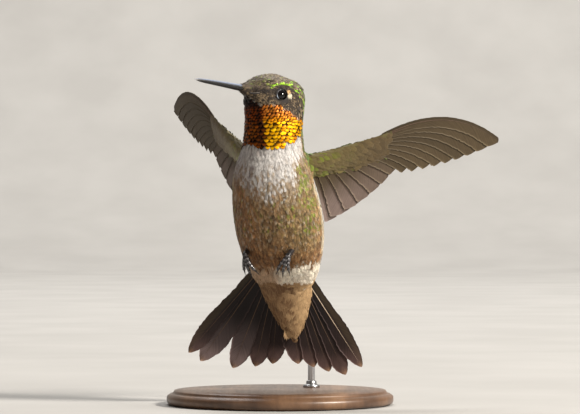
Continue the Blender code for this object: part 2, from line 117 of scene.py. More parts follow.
def turned(degrees):
    """Forward and left directions of something turned from -Y towards -X."""
    angle = math.radians(degrees)
    forward = np.array((-math.sin(angle), -math.cos(angle), 0.0))
    left = np.array((math.cos(angle), -math.sin(angle), 0.0))
    return forward, left


def ramp(values, low, high):
    """0 below low, 1 above high, and smooth between them; low may be above high."""
    t = np.clip((np.asarray(values, float) - low) / (high - low), 0.0, 1.0)
    return t * t * (3 - 2 * t)


def band(values, middle, reach):
    """1 at the middle and 0 from reach away."""
    return ramp(np.abs(np.asarray(values) - middle), reach, 0.0)


def mix(a, b, t):
    return a + (b - a) * t


def blend(colors, color, share):
    """Colours moved towards others by a share each."""
    share = np.asarray(share, float)[..., None]
    return colors * (1 - share) + np.asarray(color) * share


def srgb(red, green, blue):
    """Linear colour from 0-255 display values."""
    part = np.array((red, green, blue)) / 255
    return np.where(part <= 0.04045, part / 12.92, ((part + 0.055) / 1.055) ** 2.4)


def spine(heights):
    """Points of the trunk's leaning axis at heights in mm."""
    heights = np.asarray(heights, float)
    forward, _ = turned(BODY_TURN)
    shift = (heights - SPINE_HEIGHT) * math.tan(math.radians(LEAN))
    base = np.stack([np.full_like(heights, SPINE_X), np.zeros_like(heights), heights], -1)
    return base + forward * shift[..., None]


def angle_round(points, facing):
    """Degrees round the trunk's axis from a facing direction, positive to the bird's left."""
    forward, left = turned(facing)
    away = points - spine(points[..., 2])
    return np.degrees(np.arctan2(away @ left, away @ forward))


def noise(points, scale, seed=0.0):
    """Smooth value between about -1 and 1 that varies over a length in mm."""
    p = np.asarray(points) / scale + seed
    total = np.zeros(p.shape[:-1])
    for k, (a, b, c) in enumerate(((1.0, 0.6, -0.4), (-0.7, 1.1, 0.5), (0.3, -0.8, 1.2))):
        total += np.sin(p @ np.array((a, b, c)) * 2.1 + 1.7 * k + np.sin(p @ np.array((c, a, b)) * 1.3))
    return total / 3


def curve_at(rows, x):
    """Height at x of a line through rows of (x, height)."""
    return np.interp(x, [row[0] for row in rows], [row[1] for row in rows])


def link(name, data):
    """New object in the scene."""
    item = bpy.data.objects.new(name, data)
    bpy.context.scene.collection.objects.link(item)
    return item


def grid_faces(rows, columns):
    """Faces between rows of points that lie side by side."""
    starts = [row * columns + column for row in range(rows - 1) for column in range(columns - 1)]
    return [(a, a + 1, a + columns + 1, a + columns) for a in starts]


def ring_faces(rings, sides):
    """Faces between rings of points, open at both ends."""
    faces = []
    for k in range(rings - 1):
        for n in range(sides):
            a, b = k * sides + n, k * sides + (n + 1) % sides
            faces.append((a, b, b + sides, a + sides))
    return faces


def closed_tube_faces(rings, sides):
    """Faces between rings of points, with a face over each end."""
    ends = [tuple(reversed(range(sides))), tuple((rings - 1) * sides + n for n in range(sides))]
    return ring_faces(rings, sides) + ends


def new_piece(name, verts, faces):
    """Mesh piece from points in mm and faces, riding on the model's one body."""
    mesh = bpy.data.meshes.new(name)
    mesh.from_pydata(shown(verts).tolist(), [], [list(map(int, face)) for face in faces])
    mesh.shade_smooth()
    item = link(name, mesh)
    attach(item, "root")
    return item


def paint(mesh, name, colors):
    """Colour attribute on the points, from rows of three or four values."""
    colors = np.asarray(colors, np.float32)
    if colors.shape[1] == 3:
        colors = np.hstack([colors, np.ones((len(colors), 1), np.float32)])
    layer = mesh.color_attributes.new(name, "FLOAT_COLOR", "POINT")
    layer.data.foreach_set("color", colors.ravel())


def map_for_bake(mesh, spots):
    """UV map named OFBake from one spot per point."""
    corners = np.zeros(len(mesh.loops), np.int32)
    mesh.loops.foreach_get("vertex_index", corners)
    layer = mesh.uv_layers.new(name="OFBake")
    layer.data.foreach_set("uv", np.asarray(spots, np.float32)[corners].ravel())


# ---------------------------------------------------------------- markings

# Edges of the gorget: degrees from the front of the head, and height.
GORGET_LOW = (
    (0, 66.0), (12, 65.9), (25, 65.5), (37, 65.2), (55, 65.2),
    (71, 65.5), (89, 66.7), (111, 68.1), (129, 70.1), (138, 71.4),
)
GORGET_TOP = (
    (0, 77.7), (15, 76.6), (30, 75.3), (45, 74.9), (59, 75.2),
    (74, 74.7), (89, 73.8), (101, 72.7), (118, 71.8), (138, 71.4),
)
GORGET_SIDES = 138
# Degrees from the middle of the breast to the edge of the back.
BACK_EDGE = 112
# Edge between face and crown: forward and upward from the middle of the head.
BROW_LINE = (
    (-6.0, -4.5), (-4.5, -2.0), (-2.4, 1.2), (-1.3, 1.8), (-0.2, 2.3),
    (1.6, 2.7), (3.5, 2.4), (5.6, 1.7), (7.5, 1.5),
)

WHITE = srgb(232, 228, 224)
MAUVE = srgb(134, 116, 114)
BUFF = srgb(176, 134, 88)
BROWN = srgb(100, 70, 40)
OLIVE = srgb(104, 92, 48)
GREEN = srgb(124, 142, 36)
LIME = srgb(156, 208, 40)
CREAM = srgb(248, 236, 208)
SPOT_ORANGE = srgb(240, 196, 140)
CROWN = srgb(98, 84, 68)
CHEEK = srgb(74, 60, 44)
STREAK = srgb(156, 134, 102)
DUSTY = srgb(140, 122, 98)
LORES = srgb(40, 33, 30)
NEARLY_BLACK = srgb(26, 18, 14)
GORGET_GOLD = srgb(255, 196, 0)
GORGET_ORANGE = srgb(232, 128, 0)
GORGET_UNLIT = srgb(118, 50, 0)
GORGET_SHADE = srgb(38, 17, 6)
GORGET_TAN = srgb(150, 98, 50)
PALE_BUFF = srgb(188, 170, 146)
RUST_AND_SHADE = srgb(146, 94, 50)
BELLY_TIP = srgb(206, 184, 138)
VENT_WHITE = srgb(250, 238, 218)
VENT_SHADE_BUFF = srgb(198, 166, 134)
BACK = srgb(84, 104, 34)
WING_BROWN = srgb(72, 60, 42)
WING_LILAC_SHEEN = srgb(140, 122, 118)
WING_EDGE = srgb(124, 110, 82)

# Half of the bill's depth at shares of its length, from root to tip.
BILL_DEPTH = (
    (0.0, 1.06), (0.12, 0.86), (0.3, 0.72), (0.5, 0.61),
    (0.7, 0.52), (0.85, 0.43), (0.95, 0.28), (1.0, 0.06),
)


def bill_axes():
    """Root of the bill, and the ways along it, up from it and to its left."""
    forward, left = turned(HEAD_TURN)
    rise = math.radians(BILL_RISE)
    along = forward * math.cos(rise) + UP * math.sin(rise)
    up = UP * math.cos(rise) - forward * math.sin(rise)
    root = HEAD_CENTRE + forward * BILL_ROOT_FORWARD
    root[2] = BILL_ROOT_HEIGHT
    return root, along, up, left


def bill_half_depth(t):
    return curve_at(BILL_DEPTH, t)


def head_place(points):
    """Forward, sideways and upward distance from the middle of the head."""
    forward, left = turned(HEAD_TURN)
    away = points - HEAD_CENTRE
    return away @ forward, away @ left, away[..., 2]


def head_edge(angle):
    """Height of the head's lower edge, at an angle from its front: the gorget's top, and level behind."""
    return np.where(angle < 136, curve_at(GORGET_TOP, angle), 70.0)


def gorget_share(points):
    """1 inside the gorget, from its lower edge up to the chin and the cheek."""
    angle = np.abs(angle_round(points, HEAD_TURN))
    height = points[..., 2] + 0.25 * noise(points, 1.1)
    low, top = curve_at(GORGET_LOW, angle), curve_at(GORGET_TOP, angle)
    inside = ramp(height, low - 0.25, low + 0.25) * ramp(height, top + 0.35, top - 0.35)
    return inside * ramp(angle, GORGET_SIDES, GORGET_SIDES - 4)


def by_chance(share, luck):
    """A share as a choice: whole feathers are bright or plain, with luck from 0 to 1 for each."""
    return ramp(share - luck, -0.08, 0.08) * (np.asarray(share) > 0.02)


def head_colors(points, luck):
    """Colour and gloss of the face, crown and nape."""
    ahead, aside, above = head_place(points)
    aside = np.abs(aside)
    ripple = noise(points, 0.8)
    brow = curve_at(BROW_LINE, ahead)
    low_face = ramp(ahead, -0.5, 3.0) * ramp(above, 1.0, -0.5)
    colors = blend(CHEEK, STREAK, 0.75 * by_chance(0.22 + 0.25 * low_face, luck))
    colors = blend(colors, LORES, 0.6 * by_chance(0.34 - 0.1 * low_face, 1 - luck))
    crown = ramp(above + 0.2 * ripple, brow - 0.1, brow + 0.4)
    colors = blend(colors, CROWN, crown)
    colors = blend(colors, OLIVE, crown * 0.35 * ramp(ripple, 0.0, 0.8))
    nape = ramp(ahead, -3.0, -6.5)
    colors = blend(colors, BACK, nape * np.maximum(crown, ramp(ahead, -4.5, -6.0)))
    lime = 1.2 * band(above, brow + 0.25, 0.5) * ramp(ahead, 5.4, 3.8)
    lime = lime * ramp(ahead, -1.6, -0.6) * ramp(aside, 2.5, 4.2)
    lime = np.maximum(lime, 0.42 * band(above - brow, 0.4, 1.5) * ramp(ahead, 1.0, -1.0))
    lime = by_chance(lime, 1 - luck)
    colors = blend(colors, GREEN, 0.6 * by_chance(0.12 * crown, luck))
    colors = blend(colors, LIME, 0.9 * lime)
    stripe = band(above, 1.1, 0.9) * ramp(ahead, 3.0, 4.5) * ramp(aside, 1.6, 2.6)
    on_side = ramp(aside, 3.0, 4.0)
    under = ramp(np.hypot(ahead - EYE_FORWARD, above), 2.5, 1.7) * on_side
    colors = blend(colors, LORES, np.maximum(0.85 * stripe, 0.8 * under))
    from_upper = np.hypot(ahead - 0.45, above - 0.75) + 0.15 * ripple
    from_lower = np.hypot((ahead - 0.20) * 0.9, above + 0.20) + 0.15 * ripple
    colors = blend(colors, SPOT_ORANGE, ramp(from_upper, 0.55, 0.35) * on_side)
    colors = blend(colors, CREAM, ramp(from_lower, 0.68, 0.45) * on_side)
    gloss = np.maximum(0.75 * lime, 0.35 * nape)
    return colors, gloss


def trunk_colors(points, luck):
    """Colour and gloss of the collar, breast, belly, flanks and back."""
    z = points[..., 2]
    turn = angle_round(points, BODY_TURN)
    angle = np.abs(turn)
    patchy, fine = noise(points, 2.6, 3.0), noise(points, 0.7, 1.0)
    edge = BACK_EDGE - 14 * ramp(z, 57, 62) + 4 * patchy
    front = ramp(angle, edge + 7, edge - 7)
    tuft = noise(points * np.array((1.0, 1.0, 0.3)), 0.75, 7.0)
    crisp = noise(points * np.array((1.0, 1.0, 0.34)), 0.33, 4.0)
    belly = blend(BUFF, BROWN, ramp(fine + 0.5 * patchy, -0.5, 0.9))
    belly = blend(belly, OLIVE, 0.5 * band(angle, 58, 45))
    # Rust-brown on the lower belly is the bird's own colour; rust-brown on the bird's right side is painted
    # warm shade.
    belly = blend(belly, RUST_AND_SHADE, np.maximum(0.6 * ramp(z, 43.0, 37.0), 0.7 * ramp(turn, 10, -30)))
    belly = belly * (1 + 0.28 * tuft + 0.55 * crisp)[..., None]
    # Pale flecks of the feather tips, kept to the bird's left side: the pale tips are real, and keeping them
    # to that side is a painted highlight where the light falls.
    belly = blend(belly, BELLY_TIP, 0.6 * ramp(crisp, 0.25, 0.9) * ramp(turn, -25, 10) * ramp(z, 36, 42))
    colors = blend(BACK, OLIVE, 0.5 * ramp(fine, 0.0, 0.9))
    colors = blend(colors, belly, front)
    spangle = 0.62 * band(angle, 74, 24) * ramp(z, 41, 48) * ramp(z, 63, 58) * (0.8 + 0.5 * patchy)
    spangle = np.maximum(spangle, 0.05 * front * ramp(z, 40, 46))
    spangle = by_chance(np.maximum(spangle, 0.4 * (1 - front)), luck)
    colors = blend(colors, GREEN, 0.85 * spangle)
    # The last term makes the white and the pale buff end higher on the bird's right side: painted shade
    # along the edge of the light.
    height = z + 1.8 * patchy + 0.8 * fine - 0.035 * angle - 3.0 * ramp(turn, 10, -40)
    side_edge = 60 + 32 * ramp(z, 60.0, 63.5) + 5 * fine
    middle = ramp(angle, side_edge + 8, side_edge - 10)
    pale = ramp(height, 46.0, 56.0) * front * mix(0.35, 1.0, middle)
    pale_feathers = by_chance(np.maximum(0.7 * pale, 0.12 * ramp(z, 36, 42)), 1 - luck)
    colors = blend(colors, PALE_BUFF, np.maximum(0.2 * pale, 0.7 * pale_feathers * front))
    white = ramp(height, 49.5, 59.5) * front * middle
    white = np.maximum(0.85 * ramp(height, 55.0, 60.5) * front * middle, by_chance(0.9 * white, luck))
    colors = blend(colors, WHITE, white)
    shaded = ramp(tuft + 0.7 * crisp, 0.0, 0.9) * mix(0.25, 0.85, ramp(turn, 25, -25))
    shaded = np.maximum(shaded, 0.45 * ramp(turn, -5, -35)) * front * ramp(height, 50.0, 55.0)
    colors = blend(colors, MAUVE, shaded)
    strip = band(angle + 2 * fine, 101, 10) * ramp(z, 36, 41) * ramp(z, 58, 53)
    strip = 0.45 * ramp(strip, 0.0, 0.8) + 0.4 * by_chance(0.8 * ramp(strip, 0.0, 0.6), luck)
    colors = blend(colors, CREAM, 0.85 * strip)
    uneven = 0.6 * fine + 0.5 * patchy + 1.6 * (luck - 0.5)
    low = ramp(z - 1.6 * ramp(angle, 30, 80) + uneven, 35.3, 34.5) * ramp(angle, 128, 100)
    # Warm white vent, turned buff on the bird's right side as painted shade.
    vent = blend(VENT_WHITE, VENT_SHADE_BUFF, ramp(turn + 5 * patchy, 22, -8))
    colors = blend(colors, vent, low)
    gloss = np.maximum(0.7 * spangle, 0.45 * (1 - front)) * (1 - strip) * (1 - low) * (1 - white)
    return colors, gloss


def gorget_colors(points):
    """Gold where it catches the light, orange higher up, and dull on the side turned from it."""
    angle, height = angle_round(points, HEAD_TURN), points[..., 2]
    glow = noise(points, 1.6, 5.0)
    colors = blend(GORGET_GOLD, GORGET_ORANGE, 0.6 * ramp(glow, -0.1, 1.0))
    colors = blend(colors, GORGET_ORANGE, 0.9 * ramp(height, 69.8, 72.8))
    colors = blend(colors, GORGET_TAN, 0.6 * ramp(height, 70.5, 73.5))
    colors = blend(colors, GORGET_UNLIT, 0.94 * ramp(angle + 2 * glow, 42, 37))
    colors = blend(colors, GORGET_SHADE, 0.8 * band(angle + 2 * glow, 31, 9))
    return blend(colors, NEARLY_BLACK, 0.94 * ramp(height, 73.4, 75.4) * ramp(np.abs(angle), 44, 24))


def plumage(points, luck=0.5):
    """Colour and gloss of the coat and the skin under it, anywhere on the head and body."""
    colors, gloss = trunk_colors(points, luck)
    edge = head_edge(np.abs(angle_round(points, HEAD_TURN)))
    on_head = ramp(points[..., 2], edge - 0.3, edge + 0.3) * ramp(points[..., 2], 66.0, 71.0)
    head, head_gloss = head_colors(points, luck)
    colors = blend(colors, head, on_head)
    gloss = gloss * (1 - on_head) + head_gloss * on_head
    share = gorget_share(points)
    colors = blend(colors, gorget_colors(points), share)
    return colors, gloss * (1 - share) + 0.9 * share


# ---------------------------------------------------------------- wings' surfaces

class Wing:
    """Surface of one wing: span out from the shoulder, chord up to the leading edge, in mm."""

    def __init__(self, side):
        self.side = side
        self.sign = 1 if side == "l" else -1
        forward, left = turned(BODY_TURN)
        sweep, rise, pitch = (math.radians(table[side]) for table in (WING_SWEEP, WING_RISE, WING_PITCH))
        level = left * self.sign * math.cos(sweep) - forward * math.sin(sweep)
        front = np.cross(level, UP) * self.sign
        above = UP * math.cos(rise) - level * math.sin(rise)
        self.span = level * math.cos(rise) + UP * math.sin(rise)
        self.chord = above * math.cos(pitch) + front * math.sin(pitch)
        self.front = front * math.cos(pitch) - above * math.sin(pitch)
        self.root = spine(SHOULDER_HEIGHT[side]) + left * self.sign * SHOULDER_SIDE - forward * SHOULDER_BACK

    def at(self, span, chord, out=0.0):
        """Points at distances along the span and chord, and out from the surface."""
        span, chord, out = np.broadcast_arrays(span, chord, out)
        bend = WING_BEND * (span / WING_LENGTH) ** 2
        place = self.root + span[..., None] * self.span + chord[..., None] * self.chord
        return place + (out - bend)[..., None] * self.front

    def place(self, points):
        """Span, chord and outward distance of points."""
        away = points - self.root
        span = away @ self.span
        return span, away @ self.chord, away @ self.front + WING_BEND * (span / WING_LENGTH) ** 2


WINGS = {side: Wing(side) for side in "lr"}


def flight_line(index):
    """Root, bend and tip of a flight feather's shaft as (span, chord), innermost secondary first."""
    if index < SECONDARIES:
        v = 1 - index / (SECONDARIES - 1)
        angle = math.radians(-22 - 46 * v)
        length = 13.0 + 2.6 * v
        root = np.array((mix(11.0, 3.0, v), mix(0.5, -2.0, v)))
        along = np.array((math.cos(angle), math.sin(angle)))
        across = np.array((-along[1], along[0]))
        return root, root + along * length / 2 + across * 0.8, root + along * length
    u = (index - SECONDARIES) / (PRIMARIES - 1)
    root = np.array((mix(12.0, 20.0, u), mix(1.5, 6.4, u)))
    bend = np.array((mix(19.0, 36.2, u), mix(1.6, 15.6, u**1.3)))
    tip = np.array((mix(25.0, WING_LENGTH, u), mix(-1.9, 4.0, u**1.8)))
    return root, bend, tip


def along_line(index, t):
    """Points along a flight feather's shaft, at shares of its length."""
    root, bend, tip = flight_line(index)
    t = np.asarray(t, float)[..., None]
    return root * (1 - t) ** 2 + bend * 2 * t * (1 - t) + tip * t**2


# ---------------------------------------------------------------- skin

def unwrap(points, region):
    """Place on the unwrapped skin: the body by angle and height, each arm by its span and chord."""
    u = 0.02 + 0.6 * (angle_round(points, BODY_TURN) / 360 + 0.5)
    v = 0.02 + 0.96 * (points[..., 2] - 12.0) / 74.0
    for side, code in ARMS.items():
        span, chord, out = WINGS[side].place(points)
        chosen = region == code
        u = np.where(chosen, 0.66 + 0.32 * np.clip((span + 4) / 32, 0, 1), u)
        row = 0.02 + 0.5 * (code - ARM_L) + 0.24 * (out < 0)
        v = np.where(chosen, row + 0.22 * np.clip((chord + 8) / 18, 0, 1), v)
    return np.stack([u, v], -1)


def mesh_arrays(mesh):
    """Points of a mesh and the way that it faces at each."""
    values = np.zeros((2, len(mesh.vertices) * 3), np.float32)
    mesh.vertices.foreach_get("co", values[0])
    mesh.vertices.foreach_get("normal", values[1])
    return values.reshape(2, -1, 3).astype(float)


def tree_of(names):
    """Search tree over the named solids, in mm in the bird's frame."""
    verts, faces = [], []
    for name in names:
        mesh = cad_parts[name].data
        first = len(verts)
        verts += in_bird([v.co for v in mesh.vertices]).tolist()
        faces += [[first + i for i in face.vertices] for face in mesh.polygons]
    return BVHTree.FromPolygons(verts, faces)


def smoothed(mesh, points, passes=60, shrink=0.5, grow=-0.513):
    """Points with facets rounded off, without loss of volume."""
    ends = np.zeros(len(mesh.edges) * 2, np.int32)
    mesh.edges.foreach_get("vertices", ends)
    a, b = ends.reshape(-1, 2).T
    count = np.bincount(np.concatenate([a, b]), minlength=len(points))[:, None]
    points = points.copy()
    for step in range(2 * passes):
        total = np.stack([
            np.bincount(a, points[b, axis], len(points)) + np.bincount(b, points[a, axis], len(points))
            for axis in range(3)
        ], -1)
        points += (grow if step % 2 else shrink) * (total / count - points)
    return points


def apply_modifiers(item):
    """The piece's mesh as its modifiers leave it."""
    item.data = bpy.data.meshes.new_from_object(item.evaluated_get(bpy.context.evaluated_depsgraph_get()))
    item.modifiers.clear()
    return item.data


def relax(item, passes):
    """Adds a modifier that evens out the surface."""
    smooth = item.modifiers.new("relax", "SMOOTH")
    smooth.factor, smooth.iterations = 0.5, passes


def make_skin():
    """One closed skin through the solids of flesh, drawn in by the coat's depth."""
    grid = bmesh.new()
    for name in FLESH:
        grid.from_mesh(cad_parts[name].data)
    bmesh.ops.remove_doubles(grid, verts=grid.verts, dist=0.002 * MM)
    raw = bpy.data.meshes.new("skin_raw")
    grid.to_mesh(raw)
    grid.free()
    item = link("skin", raw)
    swell = item.modifiers.new("swell", "DISPLACE")
    swell.strength = SEAM_CLOSING * MM
    swell.mid_level = 0.0
    remesh = item.modifiers.new("one_surface", "REMESH")
    remesh.mode = "VOXEL"
    remesh.voxel_size = SKIN_VOXEL * MM
    relax(item, 4)
    mesh = apply_modifiers(item)
    verts, normals = mesh_arrays(mesh)
    tree = BVHTree.FromPolygons(verts.tolist(), [list(face.vertices) for face in mesh.polygons])
    thick = np.empty(len(verts))
    for k, (spot, normal) in enumerate(zip(verts, normals)):
        start = Vector(spot - normal * 0.02 * MM)
        thick[k] = tree.ray_cast(start, Vector(-normal), 4 * MM)[3] or 4 * MM
    coat = mix(COAT_DEPTH, HEAD_COAT_DEPTH, ramp(in_bird(verts)[:, 2], 63.0, 68.0))
    depth = np.minimum((SEAM_CLOSING + coat) * MM, 0.36 * thick)
    drawn_in = verts - normals * depth[:, None]
    round_off = ramp(thick / MM, 1.6, 3.6)[:, None]
    drawn_in = drawn_in * (1 - round_off) + smoothed(mesh, drawn_in) * round_off
    mesh.vertices.foreach_set("co", drawn_in.astype(np.float32).ravel())
    mesh.update()
    relax(item, 2)
    mesh = apply_modifiers(item)
    mesh.name = "skin"
    mesh.shade_smooth()
    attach(item, "root")
    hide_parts(*FLESH)
    return item


def label_regions(points):
    """Region of each point of the skin, from the solid that lies nearest."""
    nearest = np.full(len(points), 1e9)
    region = np.zeros(len(points), int)
    for code, names in enumerate(REGIONS):
        tree = tree_of(names)
        away = np.array([tree.find_nearest(Vector(p))[3] for p in points])
        closer = away < nearest
        region[closer] = code
        nearest[closer] = away[closer]
    return region


# ---------------------------------------------------------------- small feathers

# Kinds of small feather: spacing, length, width, lift of the tip, its shape, and its slot.
COATS = {
    "face": dict(spacing=0.25, length=0.95, width=0.36, lift=0.17, shape="barbs", slot="crown_feathers"),
    "crown": dict(spacing=0.42, length=1.15, width=0.74, lift=0.24, shape="plate", slot="crown_feathers"),
    "nape": dict(spacing=0.52, length=1.5, width=0.95, lift=0.28, shape="plate", slot="back_feathers"),
    "breast": dict(spacing=0.34, length=2.3, width=0.66, lift=0.30, shape="barbs", slot="breast_feathers"),
    "belly": dict(spacing=0.35, length=2.1, width=0.68, lift=0.33, shape="barbs", slot="breast_feathers"),
    "flank": dict(spacing=0.37, length=2.1, width=0.74, lift=0.34, shape="barbs", slot="breast_feathers"),
    "back": dict(spacing=0.64, length=2.1, width=1.35, lift=0.34, shape="plate", slot="back_feathers"),
    "vent": dict(spacing=0.34, length=2.1, width=0.9, lift=0.60, shape="barbs", slot="vent_down"),
    "thigh": dict(spacing=0.40, length=1.3, width=0.6, lift=0.22, shape="barbs", slot="vent_down"),
}
# Feather roots are drawn from this many candidates for each that is kept, and sunk into the skin.
CANDIDATES = 7
SINK = 0.06


def barbs_template(fingers=7, stations=(0.0, 0.34, 0.6, 0.82)):
    """Loose feather: narrow strips side by side, each ending in a point."""
    spots, faces, strand = [], [], []
    for k in range(fingers):
        middle = (2 * k + 1) / fingers - 1
        reach = (1 - 0.24 * middle**2) * (1.0 if k % 2 else 0.88)
        first = len(spots)
        for v in stations:
            half = 1.06 / fingers * (1 - 0.45 * v)
            spread = middle * (0.82 + 0.30 * v)
            spots += [(spread - half, v * reach), (spread + half, v * reach)]
        spots.append((middle * 1.1, reach))
        for row in range(len(stations) - 1):
            a = first + 2 * row
            faces.append((a, a + 1, a + 3, a + 2))
        a = first + 2 * (len(stations) - 1)
        faces.append((a, a + 1, a + 2))
        strand += [k] * (2 * len(stations) + 1)
    return np.array(spots), faces, np.array(strand)


def plate_template(columns=4, rows=5):
    """Close feather: a rounded plate with a slightly uneven edge."""
    spots = []
    for row in range(rows + 1):
        v = row / rows
        half = (0.5 + 0.5 * min(v / 0.5, 1.0)) * (1 - 0.22 * max(v - 0.7, 0) / 0.3)
        for column in range(columns + 1):
            u = 2 * column / columns - 1
            ragged = 0.035 * (-1) ** column if row == rows else 0.0
            spots.append((u * half, v * (1 - 0.34 * u * u) + ragged))
    strand = np.tile(np.arange(columns + 1), rows + 1)
    return np.array(spots), grid_faces(rows + 1, columns + 1), strand


# Points across and along a feather, its faces, and the strand that each point belongs to.
TEMPLATES = {"barbs": barbs_template(), "plate": plate_template(), "vaned": plate_template(8, 8)}


class Skin:
    """The finished skin as arrays, with searches for the coat's roots."""

    def __init__(self, item):
        mesh = item.data
        verts, self.normals = mesh_arrays(mesh)
        self.verts = in_bird(verts)
        mesh.calc_loop_triangles()
        corners = np.zeros(len(mesh.loop_triangles) * 3, np.int32)
        mesh.loop_triangles.foreach_get("vertices", corners)
        self.corners = corners.reshape(-1, 3)
        self.tree = BVHTree.FromPolygons(self.verts.tolist(), self.corners.tolist())
        self.region = label_regions(self.verts)

    def nearest(self, points):
        """Closest places on the skin and the way it faces there."""
        found = [self.tree.find_nearest(Vector(p)) for p in points]
        return np.array([f[0] for f in found]), np.array([f[1] for f in found])

    def hit(self, starts, ways):
        """First places on the skin along rays: places, facings and regions; rays that miss are left out."""
        found = [self.tree.ray_cast(Vector(s), Vector(w)) for s, w in zip(starts, ways)]
        found = [f for f in found if f[0] is not None]
        region = self.region[self.corners[[f[2] for f in found], 0]]
        return np.array([f[0] for f in found]), np.array([f[1] for f in found]), region

    def scatter(self, spacing_at):
        """Evenly spread roots: places, facings and regions. spacing_at gives 0 where nothing grows."""
        a, b, c = (self.verts[self.corners[:, k]] for k in range(3))
        area = np.linalg.norm(np.cross(b - a, c - a), axis=1) / 2
        region = self.region[self.corners[:, 0]]
        spacing = spacing_at((a + b + c) / 3, region)
        weight = np.where(spacing > 0, area / np.maximum(spacing, 0.01) ** 2, 0.0)
        count = int(CANDIDATES * weight.sum())
        if count == 0:
            return np.zeros((0, 3)), np.zeros((0, 3)), np.zeros(0, int)
        chosen = chance.choice(len(area), count, p=weight / weight.sum())
        r1, r2 = np.sqrt(chance.random(count)), chance.random(count)
        shares = np.stack([1 - r1, r1 * (1 - r2), r1 * r2], -1)[..., None]
        places = (self.verts[self.corners[chosen]] * shares).sum(1)
        facing = unit((self.normals[self.corners[chosen]] * shares).sum(1))
        spacing = spacing[chosen]
        tree = kdtree.KDTree(count)
        for k, place in enumerate(places):
            tree.insert(place, k)
        tree.balance()
        free = np.ones(count, bool)
        kept = []
        for k in range(count):
            if free[k]:
                kept.append(k)
                for _, other, _ in tree.find_range(places[k], spacing[k]):
                    free[other] = False
        return places[kept], facing[kept], region[chosen][kept]


def tail_axes():
    """Ways down the tail, to its left, and out from its lower face."""
    forward, left = turned(TAIL_TURN)
    lean = math.radians(TAIL_LEAN)
    down = -forward * math.sin(lean) - UP * math.cos(lean)
    return down, left, forward * math.cos(lean) - UP * math.sin(lean)


def lie_at(points, region):
    """Way the coat lies: away from the bill, down the body to the tail, and out along the wings."""
    forward, _ = turned(HEAD_TURN)
    bill_root = HEAD_CENTRE + forward * (BILL_ROOT_FORWARD + 1.0) + UP * 0.6
    away = points - bill_root
    far = np.linalg.norm(away, axis=-1, keepdims=True)
    tailward = unit(spine(np.array(31.0)) - spine(np.array(64.0)))
    share = ramp(far, 4.0, 17.0)
    ways = unit(away) * (1 - share) + tailward * share * 1.4
    for side, code in ARMS.items():
        wing = WINGS[side]
        ways[region == code] = wing.span * 0.85 - wing.chord * 0.55
    ways[np.isin(region, (UNDERTAIL, UPPERTAIL))] = tail_axes()[0]
    ways[region == LEGS] = -UP
    return unit(ways)


def lay(start, mid, tip, facing, tip_facing, width, template, cup):
    """Points of many feathers along their curves, as an array of feathers by template points."""
    spots = TEMPLATES[template][0]
    v = spots[None, :, 1, None]
    line = start[:, None] * (1 - v) * (1 - 2 * v) + mid[:, None] * 4 * v * (1 - v)
    line = line + tip[:, None] * v * (2 * v - 1)
    out = unit(facing[:, None] * (1 - v) + tip_facing[:, None] * v)
    along = unit(tip - start)[:, None]
    across = unit(np.cross(out, np.broadcast_to(along, out.shape)))
    u = spots[None, :, 0, None]
    roll = chance.normal(0, cup, len(start))[:, None, None]
    half = (width / 2)[:, None, None]
    rise = cup * half * (1 - u * u) + roll * half * u
    return line + across * u * half + out * rise


def place_feathers(
    skin, roots, facing, lie, length, width, lift, template, cup=0.10, sway=0.22, free=0.0, towards=None
):
    """Points of many feathers laid over the skin; free tips run straight on past its end."""
    count = len(roots)
    lie = unit(lie - facing * (lie * facing).sum(-1, keepdims=True))
    side = np.cross(facing, lie)
    turn = chance.normal(0, sway, count)[:, None]
    lie = unit(lie * np.cos(turn) + side * np.sin(turn))
    lift = lift * chance.uniform(0.75, 1.15, count)
    free_tip, free_mid = roots + lie * length[:, None], roots + lie * length[:, None] / 2
    tip, tip_facing = skin.nearest(free_tip)
    mid, mid_facing = skin.nearest(free_mid)
    if towards is not None:
        ways = (facing, tip_facing, mid_facing)
        facing, tip_facing, mid_facing = (unit(way + 2.5 * towards) for way in ways)
    free = np.broadcast_to(free, count)
    tip, mid = blend(tip, free_tip, free), blend(mid, free_mid, free)
    start = roots - facing * SINK
    tip = tip + tip_facing * lift[:, None]
    mid = mid + mid_facing * lift[:, None] * 0.8
    return lay(start, mid, tip, facing, tip_facing, width, template, cup)


def vane_places(template, count, gloss):
    """For each point of each feather: its place across and along the feather, and its gloss."""
    spots = TEMPLATES[template][0]
    vane = np.zeros((count, len(spots), 3))
    vane[..., 0], vane[..., 1], vane[..., 2] = spots[:, 0] * 0.5 + 0.5, spots[:, 1], gloss
    return vane


def join_feathers(name, places, template, tint, vane, roots, region, look):
    """One mesh of many copies of a template, with colours, bake map and material."""
    spots, faces, _ = TEMPLATES[template]
    count, each = places.shape[:2]
    corners = np.concatenate([np.array(face) for face in faces])
    sizes = np.tile([len(face) for face in faces], count)
    loops = (corners[None] + np.arange(count)[:, None] * each).ravel()
    mesh = bpy.data.meshes.new(name)
    mesh.vertices.add(count * each)
    mesh.vertices.foreach_set("co", shown(places).astype(np.float32).ravel())
    mesh.loops.add(len(loops))
    mesh.loops.foreach_set("vertex_index", loops.astype(np.int32))
    mesh.polygons.add(len(sizes))
    mesh.polygons.foreach_set("loop_start", np.concatenate([[0], np.cumsum(sizes)[:-1]]).astype(np.int32))
    mesh.update(calc_edges=True)
    mesh.shade_smooth()
    item = link(name, mesh)
    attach(item, "root")
    paint(mesh, "tint", np.clip(tint, 0, 1).reshape(-1, 3))
    paint(mesh, "vane", vane.reshape(-1, 3))
    patch = np.stack([spots[:, 0] / 2, spots[:, 1] - 0.5], -1) * PATCH
    map_for_bake(mesh, (unwrap(roots, region)[:, None, :] + patch[None]).reshape(-1, 2))
    mesh.materials.append(look)


